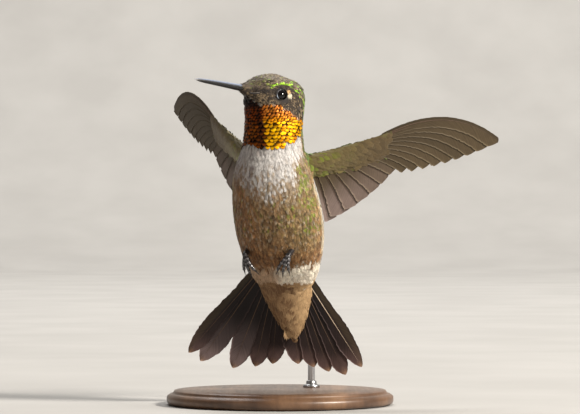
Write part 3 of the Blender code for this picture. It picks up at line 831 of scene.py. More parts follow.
def kind_masks(points, region):
    """Which kind of small feather grows where; every part of the body has one kind at most."""
    ahead, aside, above = head_place(points)
    aside, z = np.abs(aside), points[:, 2]
    turn_head = np.abs(angle_round(points, HEAD_TURN))
    turn_body = np.abs(angle_round(points, BODY_TURN))
    body = region == BODY
    head = body & (z > head_edge(turn_head) - 0.2) & (z > 68.0)
    gorget = body & ~head & (z > curve_at(GORGET_LOW, turn_head) + 0.2) & (turn_head < GORGET_SIDES - 1)
    eye = np.hypot(ahead - EYE_FORWARD - 0.15, above + 0.15) < LID_OPENING + 0.38
    bare = head & (eye & (aside > 3.0))
    face = head & ((above < curve_at(BROW_LINE, ahead) + 0.2) | (ahead > 6.2)) & (ahead > -2.2)
    crown = head & ~face & (ahead > -3.5) & (above > -1.0)
    nape = (head & ~face & ~crown) | (body & ~head & ~gorget & (z > 62) & (turn_body > 100))
    trunk = body & ~head & ~gorget & ~nape
    ragged = noise(points, 1.1)
    lowest = trunk & (z < 33.4 + 0.5 * ragged) & (turn_body < BACK_EDGE)
    vent_top = 35.4 + 1.5 * ramp(turn_body, 30, 80) + 0.9 * ragged
    vent = trunk & ~lowest & (z < vent_top) & (turn_body < BACK_EDGE)
    trunk = trunk & ~lowest & ~vent
    back = trunk & (turn_body > 104)
    flank = trunk & ~back & (turn_body > 66) & (z < 58)
    breast = trunk & ~back & ~flank & (z > 54)
    belly = trunk & ~back & ~flank & ~breast
    return {
        "face": face & ~bare, "crown": crown & ~bare, "nape": nape, "vent": vent, "back": back,
        "flank": flank, "breast": breast, "belly": belly, "thigh": region == LEGS,
    }


def tint_feathers(
    tips, template, fringe=None, share=0.0, dark=0.5, feather=(0.74, 1.16), streak=(0.70, 1.22)
):
    """Colours and vane places of every feather's points.

    The coat's markings are taken at the tips. dark is how dark the root is, as painted shade where the
    feathers overlap; feather and streak say how much whole feathers and their strands differ; the tip's edge
    takes a share of the fringe's colour.
    """
    spots, _, strand = TEMPLATES[template]
    count = len(tips)
    colors, gloss = plumage(tips, chance.uniform(0, 1, count))
    colors = colors * chance.uniform(*feather, (count, 1))
    v = spots[None, :, 1]
    strands = chance.uniform(*streak, (count, strand.max() + 1))[:, strand]
    shade = (dark + (1 - dark) * ramp(v, 0.1, 0.75)) * strands
    tint = colors[:, None, :] * shade[..., None]
    if fringe is not None:
        rim = ramp(v, 0.78, 0.99) * share * chance.uniform(0.2, 1.5, (count, 1))
        tint = blend(tint, fringe, np.clip(rim, 0, 0.9))
    return tint, np.clip(vane_places(template, count, gloss[:, None]), 0.0, 1.0)


def make_frontal_feathers(skin, looks):
    """The point of small feathers that runs from the forehead and lores on to the root of the bill."""
    root, along, up, _ = bill_axes()

    def spacing_at(points, region):
        away = points - root
        round_bill = np.linalg.norm(away - (away @ along)[:, None] * along, axis=1)
        near = (round_bill < 3.4) & (away @ along > -3.2) & (points @ up > root @ up - 1.5)
        return np.where(near & (region == BODY), 0.23, 0.0)

    roots, facing, region = skin.scatter(spacing_at)
    away = roots - root
    ahead = away @ along
    out = away - ahead[:, None] * along
    spread = np.linalg.norm(out, axis=1)
    out = unit(out)
    steep = np.abs(out @ up)
    reach = chance.uniform(0.5, 1.1, len(roots)) * mix(1.3, 2.0, steep)
    end = ahead + reach
    t = np.clip(end / BILL_REACH, 0, 1)
    close = mix(0.5, 0.0, ramp(reach, 0.3, 1.8)) * np.maximum(spread - 1.2, 0)
    tip_out = bill_half_depth(t) * mix(1.15, 1.0, steep) + 0.10 + close + 0.07 * chance.random(len(roots))
    start = roots - facing * SINK
    tip = root + along * end[:, None] + out * tip_out[:, None] - up * (BILL_DROOP * t * t)[:, None]
    mid = (start + tip) / 2 + (facing + out) * 0.11
    width = chance.uniform(0.30, 0.46, len(roots))
    places = lay(start, mid, tip, facing, out, width, "barbs", 0.1)
    tint, vane = tint_feathers(roots, "barbs", DUSTY, 0.35)
    look, slot = looks["feather"], "crown_feathers"
    join_feathers("coat_frontal", places, "barbs", tint, vane, roots, region, look)


# How the feathers of a kind are coloured, where they differ from the usual.
COAT_TINTS = {
    "crown": dict(fringe=srgb(190, 178, 142), share=0.75),
    "nape": dict(fringe=srgb(150, 150, 80), share=0.25),
    "back": dict(fringe=srgb(150, 140, 70), share=0.3),
    "face": dict(fringe=DUSTY, share=0.3, feather=(0.86, 1.10), streak=(0.45, 1.45)),
    "breast": dict(feather=(0.82, 1.10), streak=(0.66, 1.14)),
    "belly": dict(fringe=BELLY_TIP, share=0.95, dark=0.30, feather=(0.66, 1.22), streak=(0.55, 1.30)),
    "flank": dict(fringe=BELLY_TIP, share=0.9, dark=0.30),
}


def make_coat(skin, looks):
    """The close coat of the head, neck, body and legs, one piece for each kind of feather."""
    for kind, plan in COATS.items():
        def spacing_at(points, region):
            return np.where(kind_masks(points, region)[kind], plan["spacing"], 0.0)

        roots, facing, region = skin.scatter(spacing_at)
        if len(roots) == 0:
            continue
        length = plan["length"] * chance.uniform(0.72, 1.25, len(roots))
        width = plan["width"] * chance.uniform(0.85, 1.15, len(roots))
        lie = lie_at(roots, region)
        lift = np.full(len(roots), plan["lift"])
        ahead, _, above = head_place(roots)
        if kind == "face":
            near = ramp(np.hypot(ahead - EYE_FORWARD, above), 3.6, 1.6)
            length, width = length * (1 - 0.35 * near), width * (1 - 0.25 * near)
            lift = lift * (1 - 0.4 * near)
        if kind in ("face", "crown"):
            lift = lift + 0.34 * band(ahead, 5.6, 3.2) * ramp(above, 2.2, 3.6)
        shape, slot = plan["shape"], plan["slot"]
        places = place_feathers(skin, roots, facing, lie, length, width, lift, shape)
        tips = roots + lie * (0.7 * length)[:, None]
        tint, vane = tint_feathers(tips, shape, **COAT_TINTS.get(kind, {}))
        join_feathers(f"coat_{kind}", places, shape, tint, vane, roots, region, looks["feather"])


# Distance between the gorget's rows, and between the scales of a row on a throat of that radius.
GORGET_ROW, GORGET_SCALE, THROAT_RADIUS = 0.84, 1.22, 8.0


def make_gorget(skin, looks):
    """Rows of small glossy scales from the chin down to the gorget's lower edge."""
    rows = np.concatenate([np.arange(65.0, 71.6, GORGET_ROW), np.arange(71.6, 79.0, GORGET_ROW * 0.72)])
    starts, ways = [], []
    forward, left = turned(HEAD_TURN)
    for number, height in enumerate(rows):
        step = math.degrees(GORGET_SCALE / THROAT_RADIUS) * float(mix(1.0, 0.70, ramp(height, 70.5, 72.0)))
        turns = np.arange(-GORGET_SIDES, GORGET_SIDES, step) + (number % 2) * step / 2
        turns = turns + chance.normal(0, step * 0.12, len(turns))
        away = np.cos(np.radians(turns))[:, None] * forward + np.sin(np.radians(turns))[:, None] * left
        heights = height + chance.normal(0, 0.09, len(turns)) + 0.25 * np.cos(np.radians(turns))
        starts.append(spine(heights) + away * 20)
        ways.append(-away)
    roots, facing, region = skin.hit(np.vstack(starts), np.vstack(ways))
    lie = lie_at(roots, region)
    chosen = (gorget_share(roots + lie * 0.6) > 0.5) & (region == BODY)
    roots, facing, lie, region = roots[chosen], facing[chosen], lie[chosen], region[chosen]
    count = len(roots)
    length, width = chance.uniform(1.35, 1.7, count), chance.uniform(1.3, 1.6, count)
    small = ramp(roots[:, 2], 70.3, 72.6)
    length, width = length * (1 - 0.30 * small), width * (1 - 0.32 * small)
    places = place_feathers(skin, roots, facing, lie, length, width, 0.34, "vaned", cup=0.13, sway=0.10)
    spots = TEMPLATES["vaned"][0]
    across, along = np.abs(spots[:, 0]), spots[:, 1]
    rim = np.maximum(0.7 * ramp(across, 0.86, 0.99), ramp(along + 0.34 * across**2, 0.84, 0.98))
    # Each scale is dark at its base, its own dark base deepened by painted shade under the row above, and
    # dark at its rim as painted shade in the gaps between rows.
    base_and_gap_shade = (0.08 + 0.92 * ramp(along, 0.36, 0.66)) * (1 - 0.95 * rim)
    bright = chance.uniform(0.62, 1.2, count)[:, None] * base_and_gap_shade[None]
    hue = chance.uniform(0, 1, count)[:, None, None]
    tint = gorget_colors(roots + lie)[:, None] * bright[..., None] * (1 - hue * np.array((0.0, 0.2, 0.0)))
    vane = vane_places("vaned", count, 1.0)
    look, slot = looks["gorget"], "gorget_feathers"
    join_feathers("coat_gorget", places, "vaned", tint, vane, roots, region, look)


# ---------------------------------------------------------------- coverts

COVERT_BUFF = srgb(104, 90, 52)
COVERT_BROWN = srgb(84, 67, 43)
UNDERTAIL_BASE = srgb(116, 84, 54)
UNDERTAIL_EDGE = srgb(196, 162, 118)
COVERTS = {
    "undertail": dict(
        code=UNDERTAIL, shape="barbs", spacing=0.58, length=3.4, width=1.7, slot="undertail_feathers",
        reach=16.9, gather=0.35, drift=-0.09, base=UNDERTAIL_BASE, edge=UNDERTAIL_EDGE, gloss=0.0,
    ),
    "uppertail": dict(
        code=UPPERTAIL, shape="vaned", spacing=1.1, length=3.2, width=2.2, slot="back_feathers",
        reach=12.5, gather=0.0, drift=0.03, base=BACK, edge=srgb(120, 120, 60), gloss=0.5,
    ),
}


def tint_coverts(base, template, count, feather, streak):
    """Colours of every covert's points, each feather and each strand a little lighter or darker."""
    strand = TEMPLATES[template][2]
    tint = np.broadcast_to(base, (count, 3))[:, None] * chance.uniform(*feather, (count, 1, 1))
    return tint * chance.uniform(*streak, (count, strand.max() + 1))[:, strand][..., None]


def make_tail_coverts(skin, looks):
    """Large soft feathers over the root of the tail, on both sides of it."""
    down, left, front = tail_axes()
    for name, plan in COVERTS.items():
        shape, below = plan["shape"], plan["code"] == UNDERTAIL

        def spacing_at(points, region):
            lowest = (region == BODY) & (points[:, 2] < 34.4 + 0.5 * noise(points, 1.1))
            lowest = lowest & (np.abs(angle_round(points, BODY_TURN)) < BACK_EDGE)
            return np.where((region == plan["code"]) | (lowest & below), plan["spacing"], 0.0)

        roots, facing, region = skin.scatter(spacing_at)
        away = roots - TAIL_ROOT
        along, across = away @ down, away @ left
        left_over = plan["reach"] - plan["gather"] * np.abs(across) - along
        order = np.argsort(along)
        roots, facing, region, along, across, left_over = (
            a[order] for a in (roots, facing, region, along, across, left_over)
        )
        count = len(roots)
        lie = unit(down + left * (across * plan["drift"])[:, None])
        length = np.minimum(plan["length"] * chance.uniform(0.85, 1.15, count), left_over + 0.2)
        length = np.maximum(length, 1.4)
        width = plan["width"] * np.clip(length / plan["length"], 0.5, 1) * chance.uniform(0.85, 1.15, count)
        free = ramp(left_over, 4.5, 2.5)
        lift = mix(0.15, 0.04, free)
        towards = front * np.where(facing @ front < -0.15, -1.0, 1.0)[:, None]
        places = place_feathers(
            skin, roots, facing, lie, length, width, lift, shape,
            cup=0.07, sway=0.16, free=free, towards=towards,
        )
        u, v = TEMPLATES[shape][0].T
        tint = tint_coverts(plan["base"], shape, count, (0.84, 1.12), (0.86, 1.10))
        # Darker towards each feather's root: painted shade under the feathers that lap over it.
        tint = tint * mix(0.72, 1.0, ramp(v, 0.1, 0.6))[None, :, None]
        rim = np.maximum(ramp(v, 0.60, 0.95), 0.5 * ramp(np.abs(u), 0.66, 0.9))
        # Pale edges stronger towards the tail's left, the side the light falls on: painted light.
        painted_light_share = mix(0.42, 0.72, ramp(across, -1.0, 4.0))[:, None]
        tint = blend(tint, plan["edge"], painted_light_share * rim)
        if below:
            # The bars are the feathers' own; making them paler towards the tail's left is painted light.
            bars = np.sin(2.4 * along + 1.5 * noise(roots, 1.8)) + 0.6 * noise(roots, 0.9)
            bars = 0.75 * ramp(bars, 0.1, 0.9) * mix(0.25, 1.0, ramp(across, -1.5, 2.5))
            tint = blend(tint, plan["edge"], np.maximum(bars, 0.85 * ramp(across, 2.0, 4.0))[:, None])
        vane = vane_places(shape, count, plan["gloss"])
        item_name, slot = f"coverts_{name}", plan["slot"]
        join_feathers(item_name, places, shape, tint, vane, roots, region, looks["covert"])


def make_wing_coverts(skin, looks):
    """Rounded feathers over both faces of the arm of each wing."""
    for side, wing in WINGS.items():
        def spacing_at(points, region):
            return np.where(region == ARMS[side], 0.72, 0.0)

        roots, facing, region = skin.scatter(spacing_at)
        span, chord, _ = wing.place(roots)
        order = np.argsort(span - 0.6 * chord)
        roots, facing, region, span = (a[order] for a in (roots, facing, region, span))
        count = len(roots)
        outward = facing @ wing.front
        flat = ramp(np.abs(outward), 0.35, 0.75)
        lie = unit(blend(wing.span, lie_at(roots, region), flat))
        length = mix(1.8, 3.2, ramp(span, 2.0, 20.0)) * chance.uniform(0.85, 1.15, count)
        length = length * mix(0.6, 1.0, flat)
        width = length * mix(0.4, 0.6, flat)
        lift = mix(0.03, 0.09, flat)
        towards = wing.front * np.where(outward < 0, -1.0, 1.0)[:, None]
        places = place_feathers(
            skin, roots, facing, lie, length, width, lift, "vaned",
            cup=0.05, sway=0.08, towards=towards,
        )
        green = ramp(noise(roots, 1.2), -0.2, 0.7) * ramp(span, 14.0, 3.0)
        base = blend(COVERT_BUFF, GREEN, 0.55 * green)
        base = blend(base, COVERT_BROWN, 0.8 * ramp(span, 6.0, 18.0))
        base = blend(base, BACK, 0.8 * ramp(outward, -0.2, -0.6))
        tint = tint_coverts(base, "vaned", count, (0.82, 1.12), (0.9, 1.1))
        u, v = TEMPLATES["vaned"][0].T
        rim = np.maximum(ramp(v, 0.84, 0.99), 0.5 * ramp(np.abs(u), 0.8, 0.98))
        tint = blend(tint, WING_EDGE, 0.32 * rim)
        vane = vane_places("vaned", count, 0.25 + 0.35 * green[:, None])
        name = f"coverts_wing_{side}"
        join_feathers(name, places, "vaned", tint, vane, roots, region, looks["covert"])


# ---------------------------------------------------------------- materials

class Nodes:
    """A material under construction, with short calls for its nodes."""

    def __init__(self, name, **sockets):
        self.material = bpy.data.materials.new(name)
        self.material.use_nodes = True
        self.tree = self.material.node_tree
        self.shader = self.tree.nodes["Principled BSDF"]
        for socket, value in sockets.items():
            self.shader.inputs[socket.replace("_", " ")].default_value = value

    def link(self, source, target):
        self.tree.links.new(source, target)

    def set(self, socket, source):
        self.link(source, self.shader.inputs[socket])

    def node(self, kind, **settings):
        made = self.tree.nodes.new("ShaderNode" + kind)
        for key, value in settings.items():
            setattr(made, key, value)
        return made

    def attribute(self, name):
        return self.node("Attribute", attribute_name=name)

    def split(self, vector):
        made = self.node("SeparateXYZ")
        self.link(vector, made.inputs[0])
        return made.outputs

    def math(self, operation, a, b=None):
        made = self.node("Math", operation=operation)
        for socket, value in zip(made.inputs, (a, b)):
            if isinstance(value, (int, float)):
                socket.default_value = value
            elif value is not None:
                self.link(value, socket)
        return made.outputs[0]

    def place(self):
        return self.node("TexCoord").outputs["Object"]

    def stretched(self, scale):
        made = self.node("Mapping")
        made.inputs["Scale"].default_value = scale
        self.link(self.place(), made.inputs["Vector"])
        return made.outputs[0]

    def noise(self, size, detail=3.0, vector=None, rough=0.5):
        """Noise with features of a size in mm."""
        made = self.node("TexNoise")
        made.inputs["Scale"].default_value = 1 / (size * MM)
        made.inputs["Detail"].default_value = detail
        made.inputs["Roughness"].default_value = rough
        self.link(self.place() if vector is None else vector, made.inputs["Vector"])
        return made.outputs["Fac"]

    def scale(self, value, low, high):
        made = self.node("MapRange")
        self.link(value, made.inputs["Value"])
        made.inputs["To Min"].default_value = low
        made.inputs["To Max"].default_value = high
        return made.outputs[0]

    def colors(self, value, *stops):
        made = self.node("ValToRGB")
        ramp_stops = made.color_ramp.elements
        while len(ramp_stops) < len(stops):
            ramp_stops.new(0.5)
        for stop, (position, color) in zip(ramp_stops, stops):
            stop.position = position
            stop.color = (*color, 1.0)
        self.link(value, made.inputs[0])
        return made.outputs[0]

    def tinted(self, tone):
        """The piece's own painted colours, times a tone."""
        self.set("Base Color", self.times(self.attribute("tint").outputs["Color"], tone))

    def times(self, color, value):
        made = self.node("VectorMath", operation="SCALE")
        self.link(color, made.inputs[0])
        self.link(value, made.inputs["Scale"])
        return made.outputs[0]

    def bump(self, height, depth, strength=1.0):
        made = self.node("Bump")
        made.inputs["Strength"].default_value = strength
        made.inputs["Distance"].default_value = depth * MM
        self.link(height, made.inputs["Height"])
        self.set("Normal", made.outputs[0])


def look_feather(name, barb_lines, contrast, depth):
    """Vane of a feather: barbs slanting off the shaft, duller where it has no gloss."""
    m = Nodes(name, Sheen_Weight=0.15, Sheen_Roughness=0.5, Specular_IOR_Level=0.35)
    u, v, gloss = m.split(m.attribute("vane").outputs["Vector"])
    off = m.math("ABSOLUTE", m.math("SUBTRACT", u, 0.5))
    slant = m.math("SUBTRACT", v, m.math("MULTIPLY", off, 0.7))
    barbs = m.math("SINE", m.math("MULTIPLY", slant, barb_lines))
    grain = m.scale(m.noise(0.5), 0.82, 1.18)
    lines = m.scale(barbs, 1.0 - contrast, 1.0 + 0.6 * contrast)
    lines.node.inputs["From Min"].default_value = -1.0
    m.tinted(m.math("MULTIPLY", grain, lines))
    m.set("Metallic", m.math("MULTIPLY", gloss, 0.7))
    m.set("Roughness", m.scale(gloss, 0.68, 0.34))
    m.bump(barbs, depth, 0.5)
    return m.material


def look_gorget():
    """Scales of the throat: metal-bright gold over dark bases."""
    m = Nodes("gorget", Specular_IOR_Level=0.2)
    v = m.split(m.attribute("vane").outputs["Vector"])[1]
    m.tinted(m.scale(m.noise(0.3), 0.75, 1.25))
    m.set("Metallic", m.scale(v, 0.45, 0.7))
    m.set("Roughness", m.scale(m.noise(0.4), 0.36, 0.56))
    m.bump(m.math("SINE", m.math("MULTIPLY", v, 60.0)), 0.01, 0.4)
    return m.material


def look_flight():
    """Flight feather: fine even barbs, a faint sheen and a paler shaft."""
    m = Nodes("flight_feather", Sheen_Weight=0.05, Sheen_Roughness=0.4, Specular_IOR_Level=0.25)
    u, v, gloss = m.split(m.attribute("vane").outputs["Vector"])
    off = m.math("ABSOLUTE", m.math("SUBTRACT", u, 0.5))
    slant = m.math("SUBTRACT", v, m.math("MULTIPLY", off, 0.22))
    barbs = m.math("SINE", m.math("MULTIPLY", slant, 560.0))
    clumps = m.node("TexNoise", noise_dimensions="1D")
    clumps.inputs["Scale"].default_value = 46.0
    clumps.inputs["Detail"].default_value = 4.0
    m.link(slant, clumps.inputs["W"])
    tone = m.math("MULTIPLY", m.scale(clumps.outputs["Fac"], 0.62, 1.38), m.scale(m.noise(1.6), 0.85, 1.15))
    m.tinted(tone)
    m.set("Roughness", m.scale(gloss, 0.70, 0.50))
    m.bump(barbs, 0.005, 0.4)
    return m.material


def look_skin():
    """Down and skin between the feathers, with the coat's own markings."""
    m = Nodes("skin", Roughness=0.85, Sheen_Weight=0.2)
    m.tinted(m.scale(m.noise(0.35, detail=4.0), 0.5, 0.9))
    m.bump(m.noise(0.25), 0.06, 0.8)
    return m.material


def look_bill():
    """Horn: a painted slate-blue sky reflection above, nearly black below, with fine lengthwise grain."""
    m = Nodes("bill", Coat_Weight=0.15, Coat_Roughness=0.3, Specular_IOR_Level=0.45)
    m.tinted(m.scale(m.noise(0.45, detail=5.0), 0.8, 1.2))
    m.set("Roughness", m.scale(m.noise(0.8), 0.28, 0.46))
    m.bump(m.noise(0.22), 0.02, 0.4)
    return m.material


def look_eye():
    """Dark brown iris and black pupil under a clear cornea."""
    m = Nodes("eye", Roughness=0.12, Coat_Weight=0.6, Coat_Roughness=0.02, Specular_IOR_Level=0.1)
    m.tinted(m.scale(m.noise(0.18), 0.8, 1.2))
    return m.material


def look_horny(name, roughness_low, roughness_high, cell, depth):
    """Scaled skin of the feet, claws and lids."""
    m = Nodes(name, Coat_Weight=0.4, Coat_Roughness=0.22, Specular_IOR_Level=0.6)
    cells = m.node("TexVoronoi")
    cells.inputs["Scale"].default_value = 1 / (cell * MM)
    m.link(m.place(), cells.inputs["Vector"])
    m.tinted(m.scale(cells.outputs["Distance"], 1.3, 0.55))
    m.set("Roughness", m.scale(cells.outputs["Distance"], roughness_low, roughness_high))
    m.bump(m.math("SUBTRACT", 1.0, cells.outputs["Distance"]), depth, 0.8)
    return m.material


def look_wood():
    """Turned walnut with a thin satin finish."""
    m = Nodes("walnut", Coat_Weight=0.25, Coat_Roughness=0.3)
    grain = m.noise(9.0, detail=5.0, vector=m.stretched((1.0, 0.09, 0.6)), rough=0.6)
    pores = m.noise(0.8, detail=2.0, vector=m.stretched((1.0, 0.06, 0.5)))
    dark, middle, light = (0.045, 0.022, 0.012), (0.12, 0.062, 0.032), (0.21, 0.115, 0.06)
    brown = m.colors(grain, (0.3, dark), (0.52, middle), (0.7, light))
    m.set("Base Color", m.times(brown, m.scale(pores, 0.7, 1.2)))
    m.set("Roughness", m.scale(pores, 0.5, 0.34))
    m.bump(pores, 0.03, 0.35)
    return m.material


def look_steel():
    """Drawn rod with fine lengthwise lines."""
    m = Nodes("steel", Metallic=1.0)
    lines = m.noise(0.5, detail=4.0, vector=m.stretched((1.0, 1.0, 0.03)))
    m.set("Base Color", m.colors(lines, (0.3, (0.42, 0.42, 0.43)), (0.7, (0.62, 0.62, 0.63))))
    m.set("Roughness", m.scale(lines, 0.22, 0.42))
    m.bump(lines, 0.01, 0.3)
    return m.material


def look_floor():
    """Matt pale paper, a little uneven."""
    m = Nodes("floor", Roughness=0.9)
    dark, light = (0.37, 0.362, 0.348), (0.405, 0.397, 0.382)
    m.set("Base Color", m.colors(m.noise(60.0), (0.35, dark), (0.65, light)))
    return m.material


def make_looks():
    """The materials by name."""
    return {
        "feather": look_feather("feather", 75.0, 0.12, 0.01),
        "covert": look_feather("covert", 230.0, 0.06, 0.004),
        "gorget": look_gorget(), "flight": look_flight(), "skin": look_skin(),
        "bill": look_bill(), "eye": look_eye(),
        "foot": look_horny("foot", 0.18, 0.4, 0.4, 0.06),
        "lid": look_horny("lid", 0.4, 0.6, 0.16, 0.02),
        "wood": look_wood(), "steel": look_steel(),
    }


# ---------------------------------------------------------------- stage, light and camera

CAMERA_PLACE = (0.00245, -0.796, 0.0486)
CAMERA_LENS = 200


def make_stage(look):
    """Pale floor that curves up behind."""
    reach, depth_back, height, curve, steps = 3.0, 2.2, 2.4, 0.6, 16
    profile = [(-2.6, 0.0), (depth_back - curve, 0.0)]
    for k in range(1, steps + 1):
        turn = math.pi / 2 * k / steps
        profile.append((depth_back - curve + curve * math.sin(turn), curve - curve * math.cos(turn)))
    profile.append((depth_back, height))
    verts = [(x, y, z - 0.0002) for y, z in profile for x in (-reach, reach)]
    mesh = bpy.data.meshes.new("floor")
    mesh.from_pydata(verts, [], grid_faces(len(profile), 2))
    mesh.shade_smooth()
    mesh.materials.append(look)
    floor = link("floor", mesh)


def add_light(name, place, target, size, power, color=(1.0, 1.0, 1.0)):
    """Round soft light, turned to a target."""
    lamp = bpy.data.lights.new(name, "AREA")
    lamp.shape, lamp.size = "DISK", size
    lamp.energy, lamp.color = power, color
    item = link(name, lamp)
    item.location = place
    item.rotation_mode = "QUATERNION"
    item.rotation_quaternion = (Vector(target) - Vector(place)).to_track_quat("-Z", "Y")


def make_light_and_camera():
    """Warm key light from the right, a weak fill, and light on the back and on the backdrop.

    The camera has the photo's angle and framing.
    """
    middle = (0.0, -0.005, 0.055)
    add_light("key", (1.30, -0.75, 0.97), middle, 0.36, 60.0, (1.0, 0.94, 0.86))
    add_light("fill", (-1.2, -1.4, 0.45), middle, 1.2, 2.6, (1.0, 0.91, 0.83))
    add_light("back", (-0.35, 1.0, 1.6), middle, 0.9, 10.0)
    add_light("backdrop", (0.2, 0.9, 2.2), (0.0, 2.2, 0.3), 0.8, 52.0, (1.0, 0.97, 0.93))
    world = bpy.data.worlds.new("studio")
    world.use_nodes = True
    background = world.node_tree.nodes["Background"]
    background.inputs["Color"].default_value = (1.0, 0.93, 0.86, 1.0)
    background.inputs["Strength"].default_value = 0.17
    bpy.context.scene.world = world
    lens = bpy.data.cameras.new("camera")
    lens.lens, lens.sensor_width = CAMERA_LENS, 36.0
    lens.clip_start, lens.clip_end = 0.05, 20.0
    camera = link("camera", lens)
    camera.location = CAMERA_PLACE
    camera.rotation_euler = (math.pi / 2, 0.0, 0.0)
    bpy.context.scene.camera = camera
    bpy.context.scene.view_settings.view_transform = "Standard"


# ---------------------------------------------------------------- flight feathers

VANE_THICKNESS, VANE_ROWS, VANE_COLUMNS, VANE_RAGGED = 0.07, 54, 12, 0.03
SHAFT_RADIUS, SHAFT_SIDES = 0.17, 6
TAIL_DARK = srgb(20, 13, 13)
TAIL_TIP = srgb(104, 82, 78)
TAIL_SHEEN = srgb(134, 116, 114)
TAIL_RIM = srgb(166, 130, 96)
SHAFT_COLOR = srgb(84, 66, 52)
# Feathers of the tail's right half with a painted greyish sheen, counted out from the middle one, which is
# 0.
SHEEN_PAINTED_TAIL = (2, 3)


def blade_shape(t, shoulder):
    """Share of the full width along a feather: narrow root, full blade, rounded tip."""
    t = np.asarray(t, float)
    rise = 0.42 + 0.58 * np.minimum(t / 0.6, 1.0) ** 0.8
    fall = np.maximum(t - shoulder, 0.0) / (1 - shoulder)
    return np.maximum(rise * np.maximum(1 - fall**2, 0.0) ** 0.7, 0.05)


class Bunch:
    """Several forms in one mesh, each with its own colours."""

    def __init__(self):
        self.verts, self.faces, self.tints, self.count = [], [], [], 0

    def add(self, points, faces, tint):
        self.verts.append(points)
        self.faces += [[i + self.count for i in face] for face in faces]
        self.tints.append(np.broadcast_to(tint, (len(points), 3)))
        self.count += len(points)

    def build(self, name, look, slot, *nodes):
        item = new_piece(name, np.concatenate(self.verts), self.faces)
        paint(item.data, "tint", np.clip(np.concatenate(self.tints), 0, 1))
        item.data.materials.append(look)
        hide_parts(*nodes)
        return item


def directions(line):
    """Ways along and across a flat line of points."""
    run = unit(np.gradient(line, axis=0))
    return run, np.stack([-run[:, 1], run[:, 0]], -1)


class FeatherSet(Bunch):
    """Large feathers in one mesh, each a thin closed vane with a raised shaft, and with a bake map."""

    def __init__(self):
        super().__init__()
        self.vanes, self.spots = [], []

    def add_form(self, points, faces, tint, vane, spots):
        self.add(points, faces, tint)
        self.vanes.append(vane)
        self.spots.append(spots)

    def add_feather(self, line, halves, surface, out_at, tint_at, gloss, strip, shaft=SHAFT_COLOR):
        """line gives (a, b) at t; halves the widths on the two sides; surface the point over (a, b)."""
        t = np.linspace(0, 1, VANE_ROWS)
        u = np.linspace(-1, 1, VANE_COLUMNS + 1)
        middle = line(t)
        run, across = directions(middle)
        low, high = halves(t)
        jitter = 1 + VANE_RAGGED * chance.normal(0, 1, (2, VANE_ROWS))
        half = np.where(u[None] < 0, (low * jitter[0])[:, None], (high * jitter[1])[:, None])
        sweep = 0.22 * np.abs(u)[None] * half * ramp(t, 0.0, 0.3)[:, None]
        sweep = np.minimum(sweep, (1.0 - t)[:, None] * 6.0)
        spots = middle[:, None] + across[:, None] * (u[None] * half)[..., None]
        spots = spots + run[:, None] * sweep[..., None]
        tt, uu = np.broadcast_arrays(t[:, None], u[None])
        out = out_at(tt, uu)
        tint = tint_at(tt, uu).reshape(-1, 3)
        vane = np.stack([uu * 0.5 + 0.5, tt, np.full_like(tt, gloss)], -1).reshape(-1, 3)
        columns, rows = VANE_COLUMNS + 1, VANE_ROWS
        sheets = [surface(spots[..., 0], spots[..., 1], out + side * VANE_THICKNESS / 2) for side in (1, -1)]
        layer = columns * rows
        faces = []
        for a, b, c, d in grid_faces(rows, columns):
            faces += [(a, b, c, d), (layer + d, layer + c, layer + b, layer + a)]
        rim = [row * columns for row in range(rows)]
        rim += [(rows - 1) * columns + k for k in range(1, columns)]
        rim += [row * columns + columns - 1 for row in range(rows - 2, -1, -1)]
        rim += range(columns - 2, 0, -1)
        faces += [(b, a, layer + a, layer + b) for a, b in zip(rim, rim[1:] + rim[:1])]
        upper = strip_spots(strip, 0.04 + 0.40 * (uu * 0.5 + 0.5), tt).reshape(-1, 2)
        lower = upper + np.array((0.46 * (strip[1] - strip[0]), 0.0))
        points = np.concatenate([sheet.reshape(-1, 3) for sheet in sheets])
        tint, vane = np.tile(tint, (2, 1)), np.tile(vane, (2, 1))
        self.add_form(points, faces, tint, vane, np.concatenate([upper, lower]))
        self.add_shaft(middle, surface, out_at, t, strip, shaft)

    def add_shaft(self, middle, surface, out_at, t, strip, color):
        """Tapered rod along the middle of a vane."""
        turn = 2 * np.pi * np.arange(SHAFT_SIDES) / SHAFT_SIDES
        radius = SHAFT_RADIUS * (1 - 0.82 * t)[:, None]
        across = directions(middle)[1]
        flat = middle[:, None] + across[:, None] * (radius * np.cos(turn)[None])[..., None]
        out = out_at(t[:, None], np.zeros((1, SHAFT_SIDES))) + radius * np.sin(turn)[None]
        points = surface(flat[..., 0], flat[..., 1], out).reshape(-1, 3)
        along = np.repeat(t, SHAFT_SIDES)
        vane = np.stack([np.full_like(along, 0.5), along, np.zeros_like(along)], -1)
        spots = strip_spots(strip, 0.93 + 0.05 * np.tile(np.abs(np.cos(turn / 2)), len(t)), along)
        self.add_form(points, closed_tube_faces(len(t), SHAFT_SIDES), color, vane, spots)

    def build(self, name, look, slot, *nodes):
        item = super().build(name, look, slot, *nodes)
        paint(item.data, "vane", np.clip(np.concatenate(self.vanes), 0, 1))
        map_for_bake(item.data, np.concatenate(self.spots))


def strip_of(k, count):
    """Left and right edge of one feather's strip of the bake map."""
    return k / count + 0.002, (k + 1) / count - 0.002


def strip_spots(strip, across, along):
    """Places in a strip of the bake map, from shares across and along it."""
    left, right = strip
    return np.stack([left + (right - left) * across, 0.01 + 0.98 * (0.02 + 0.96 * along)], -1)


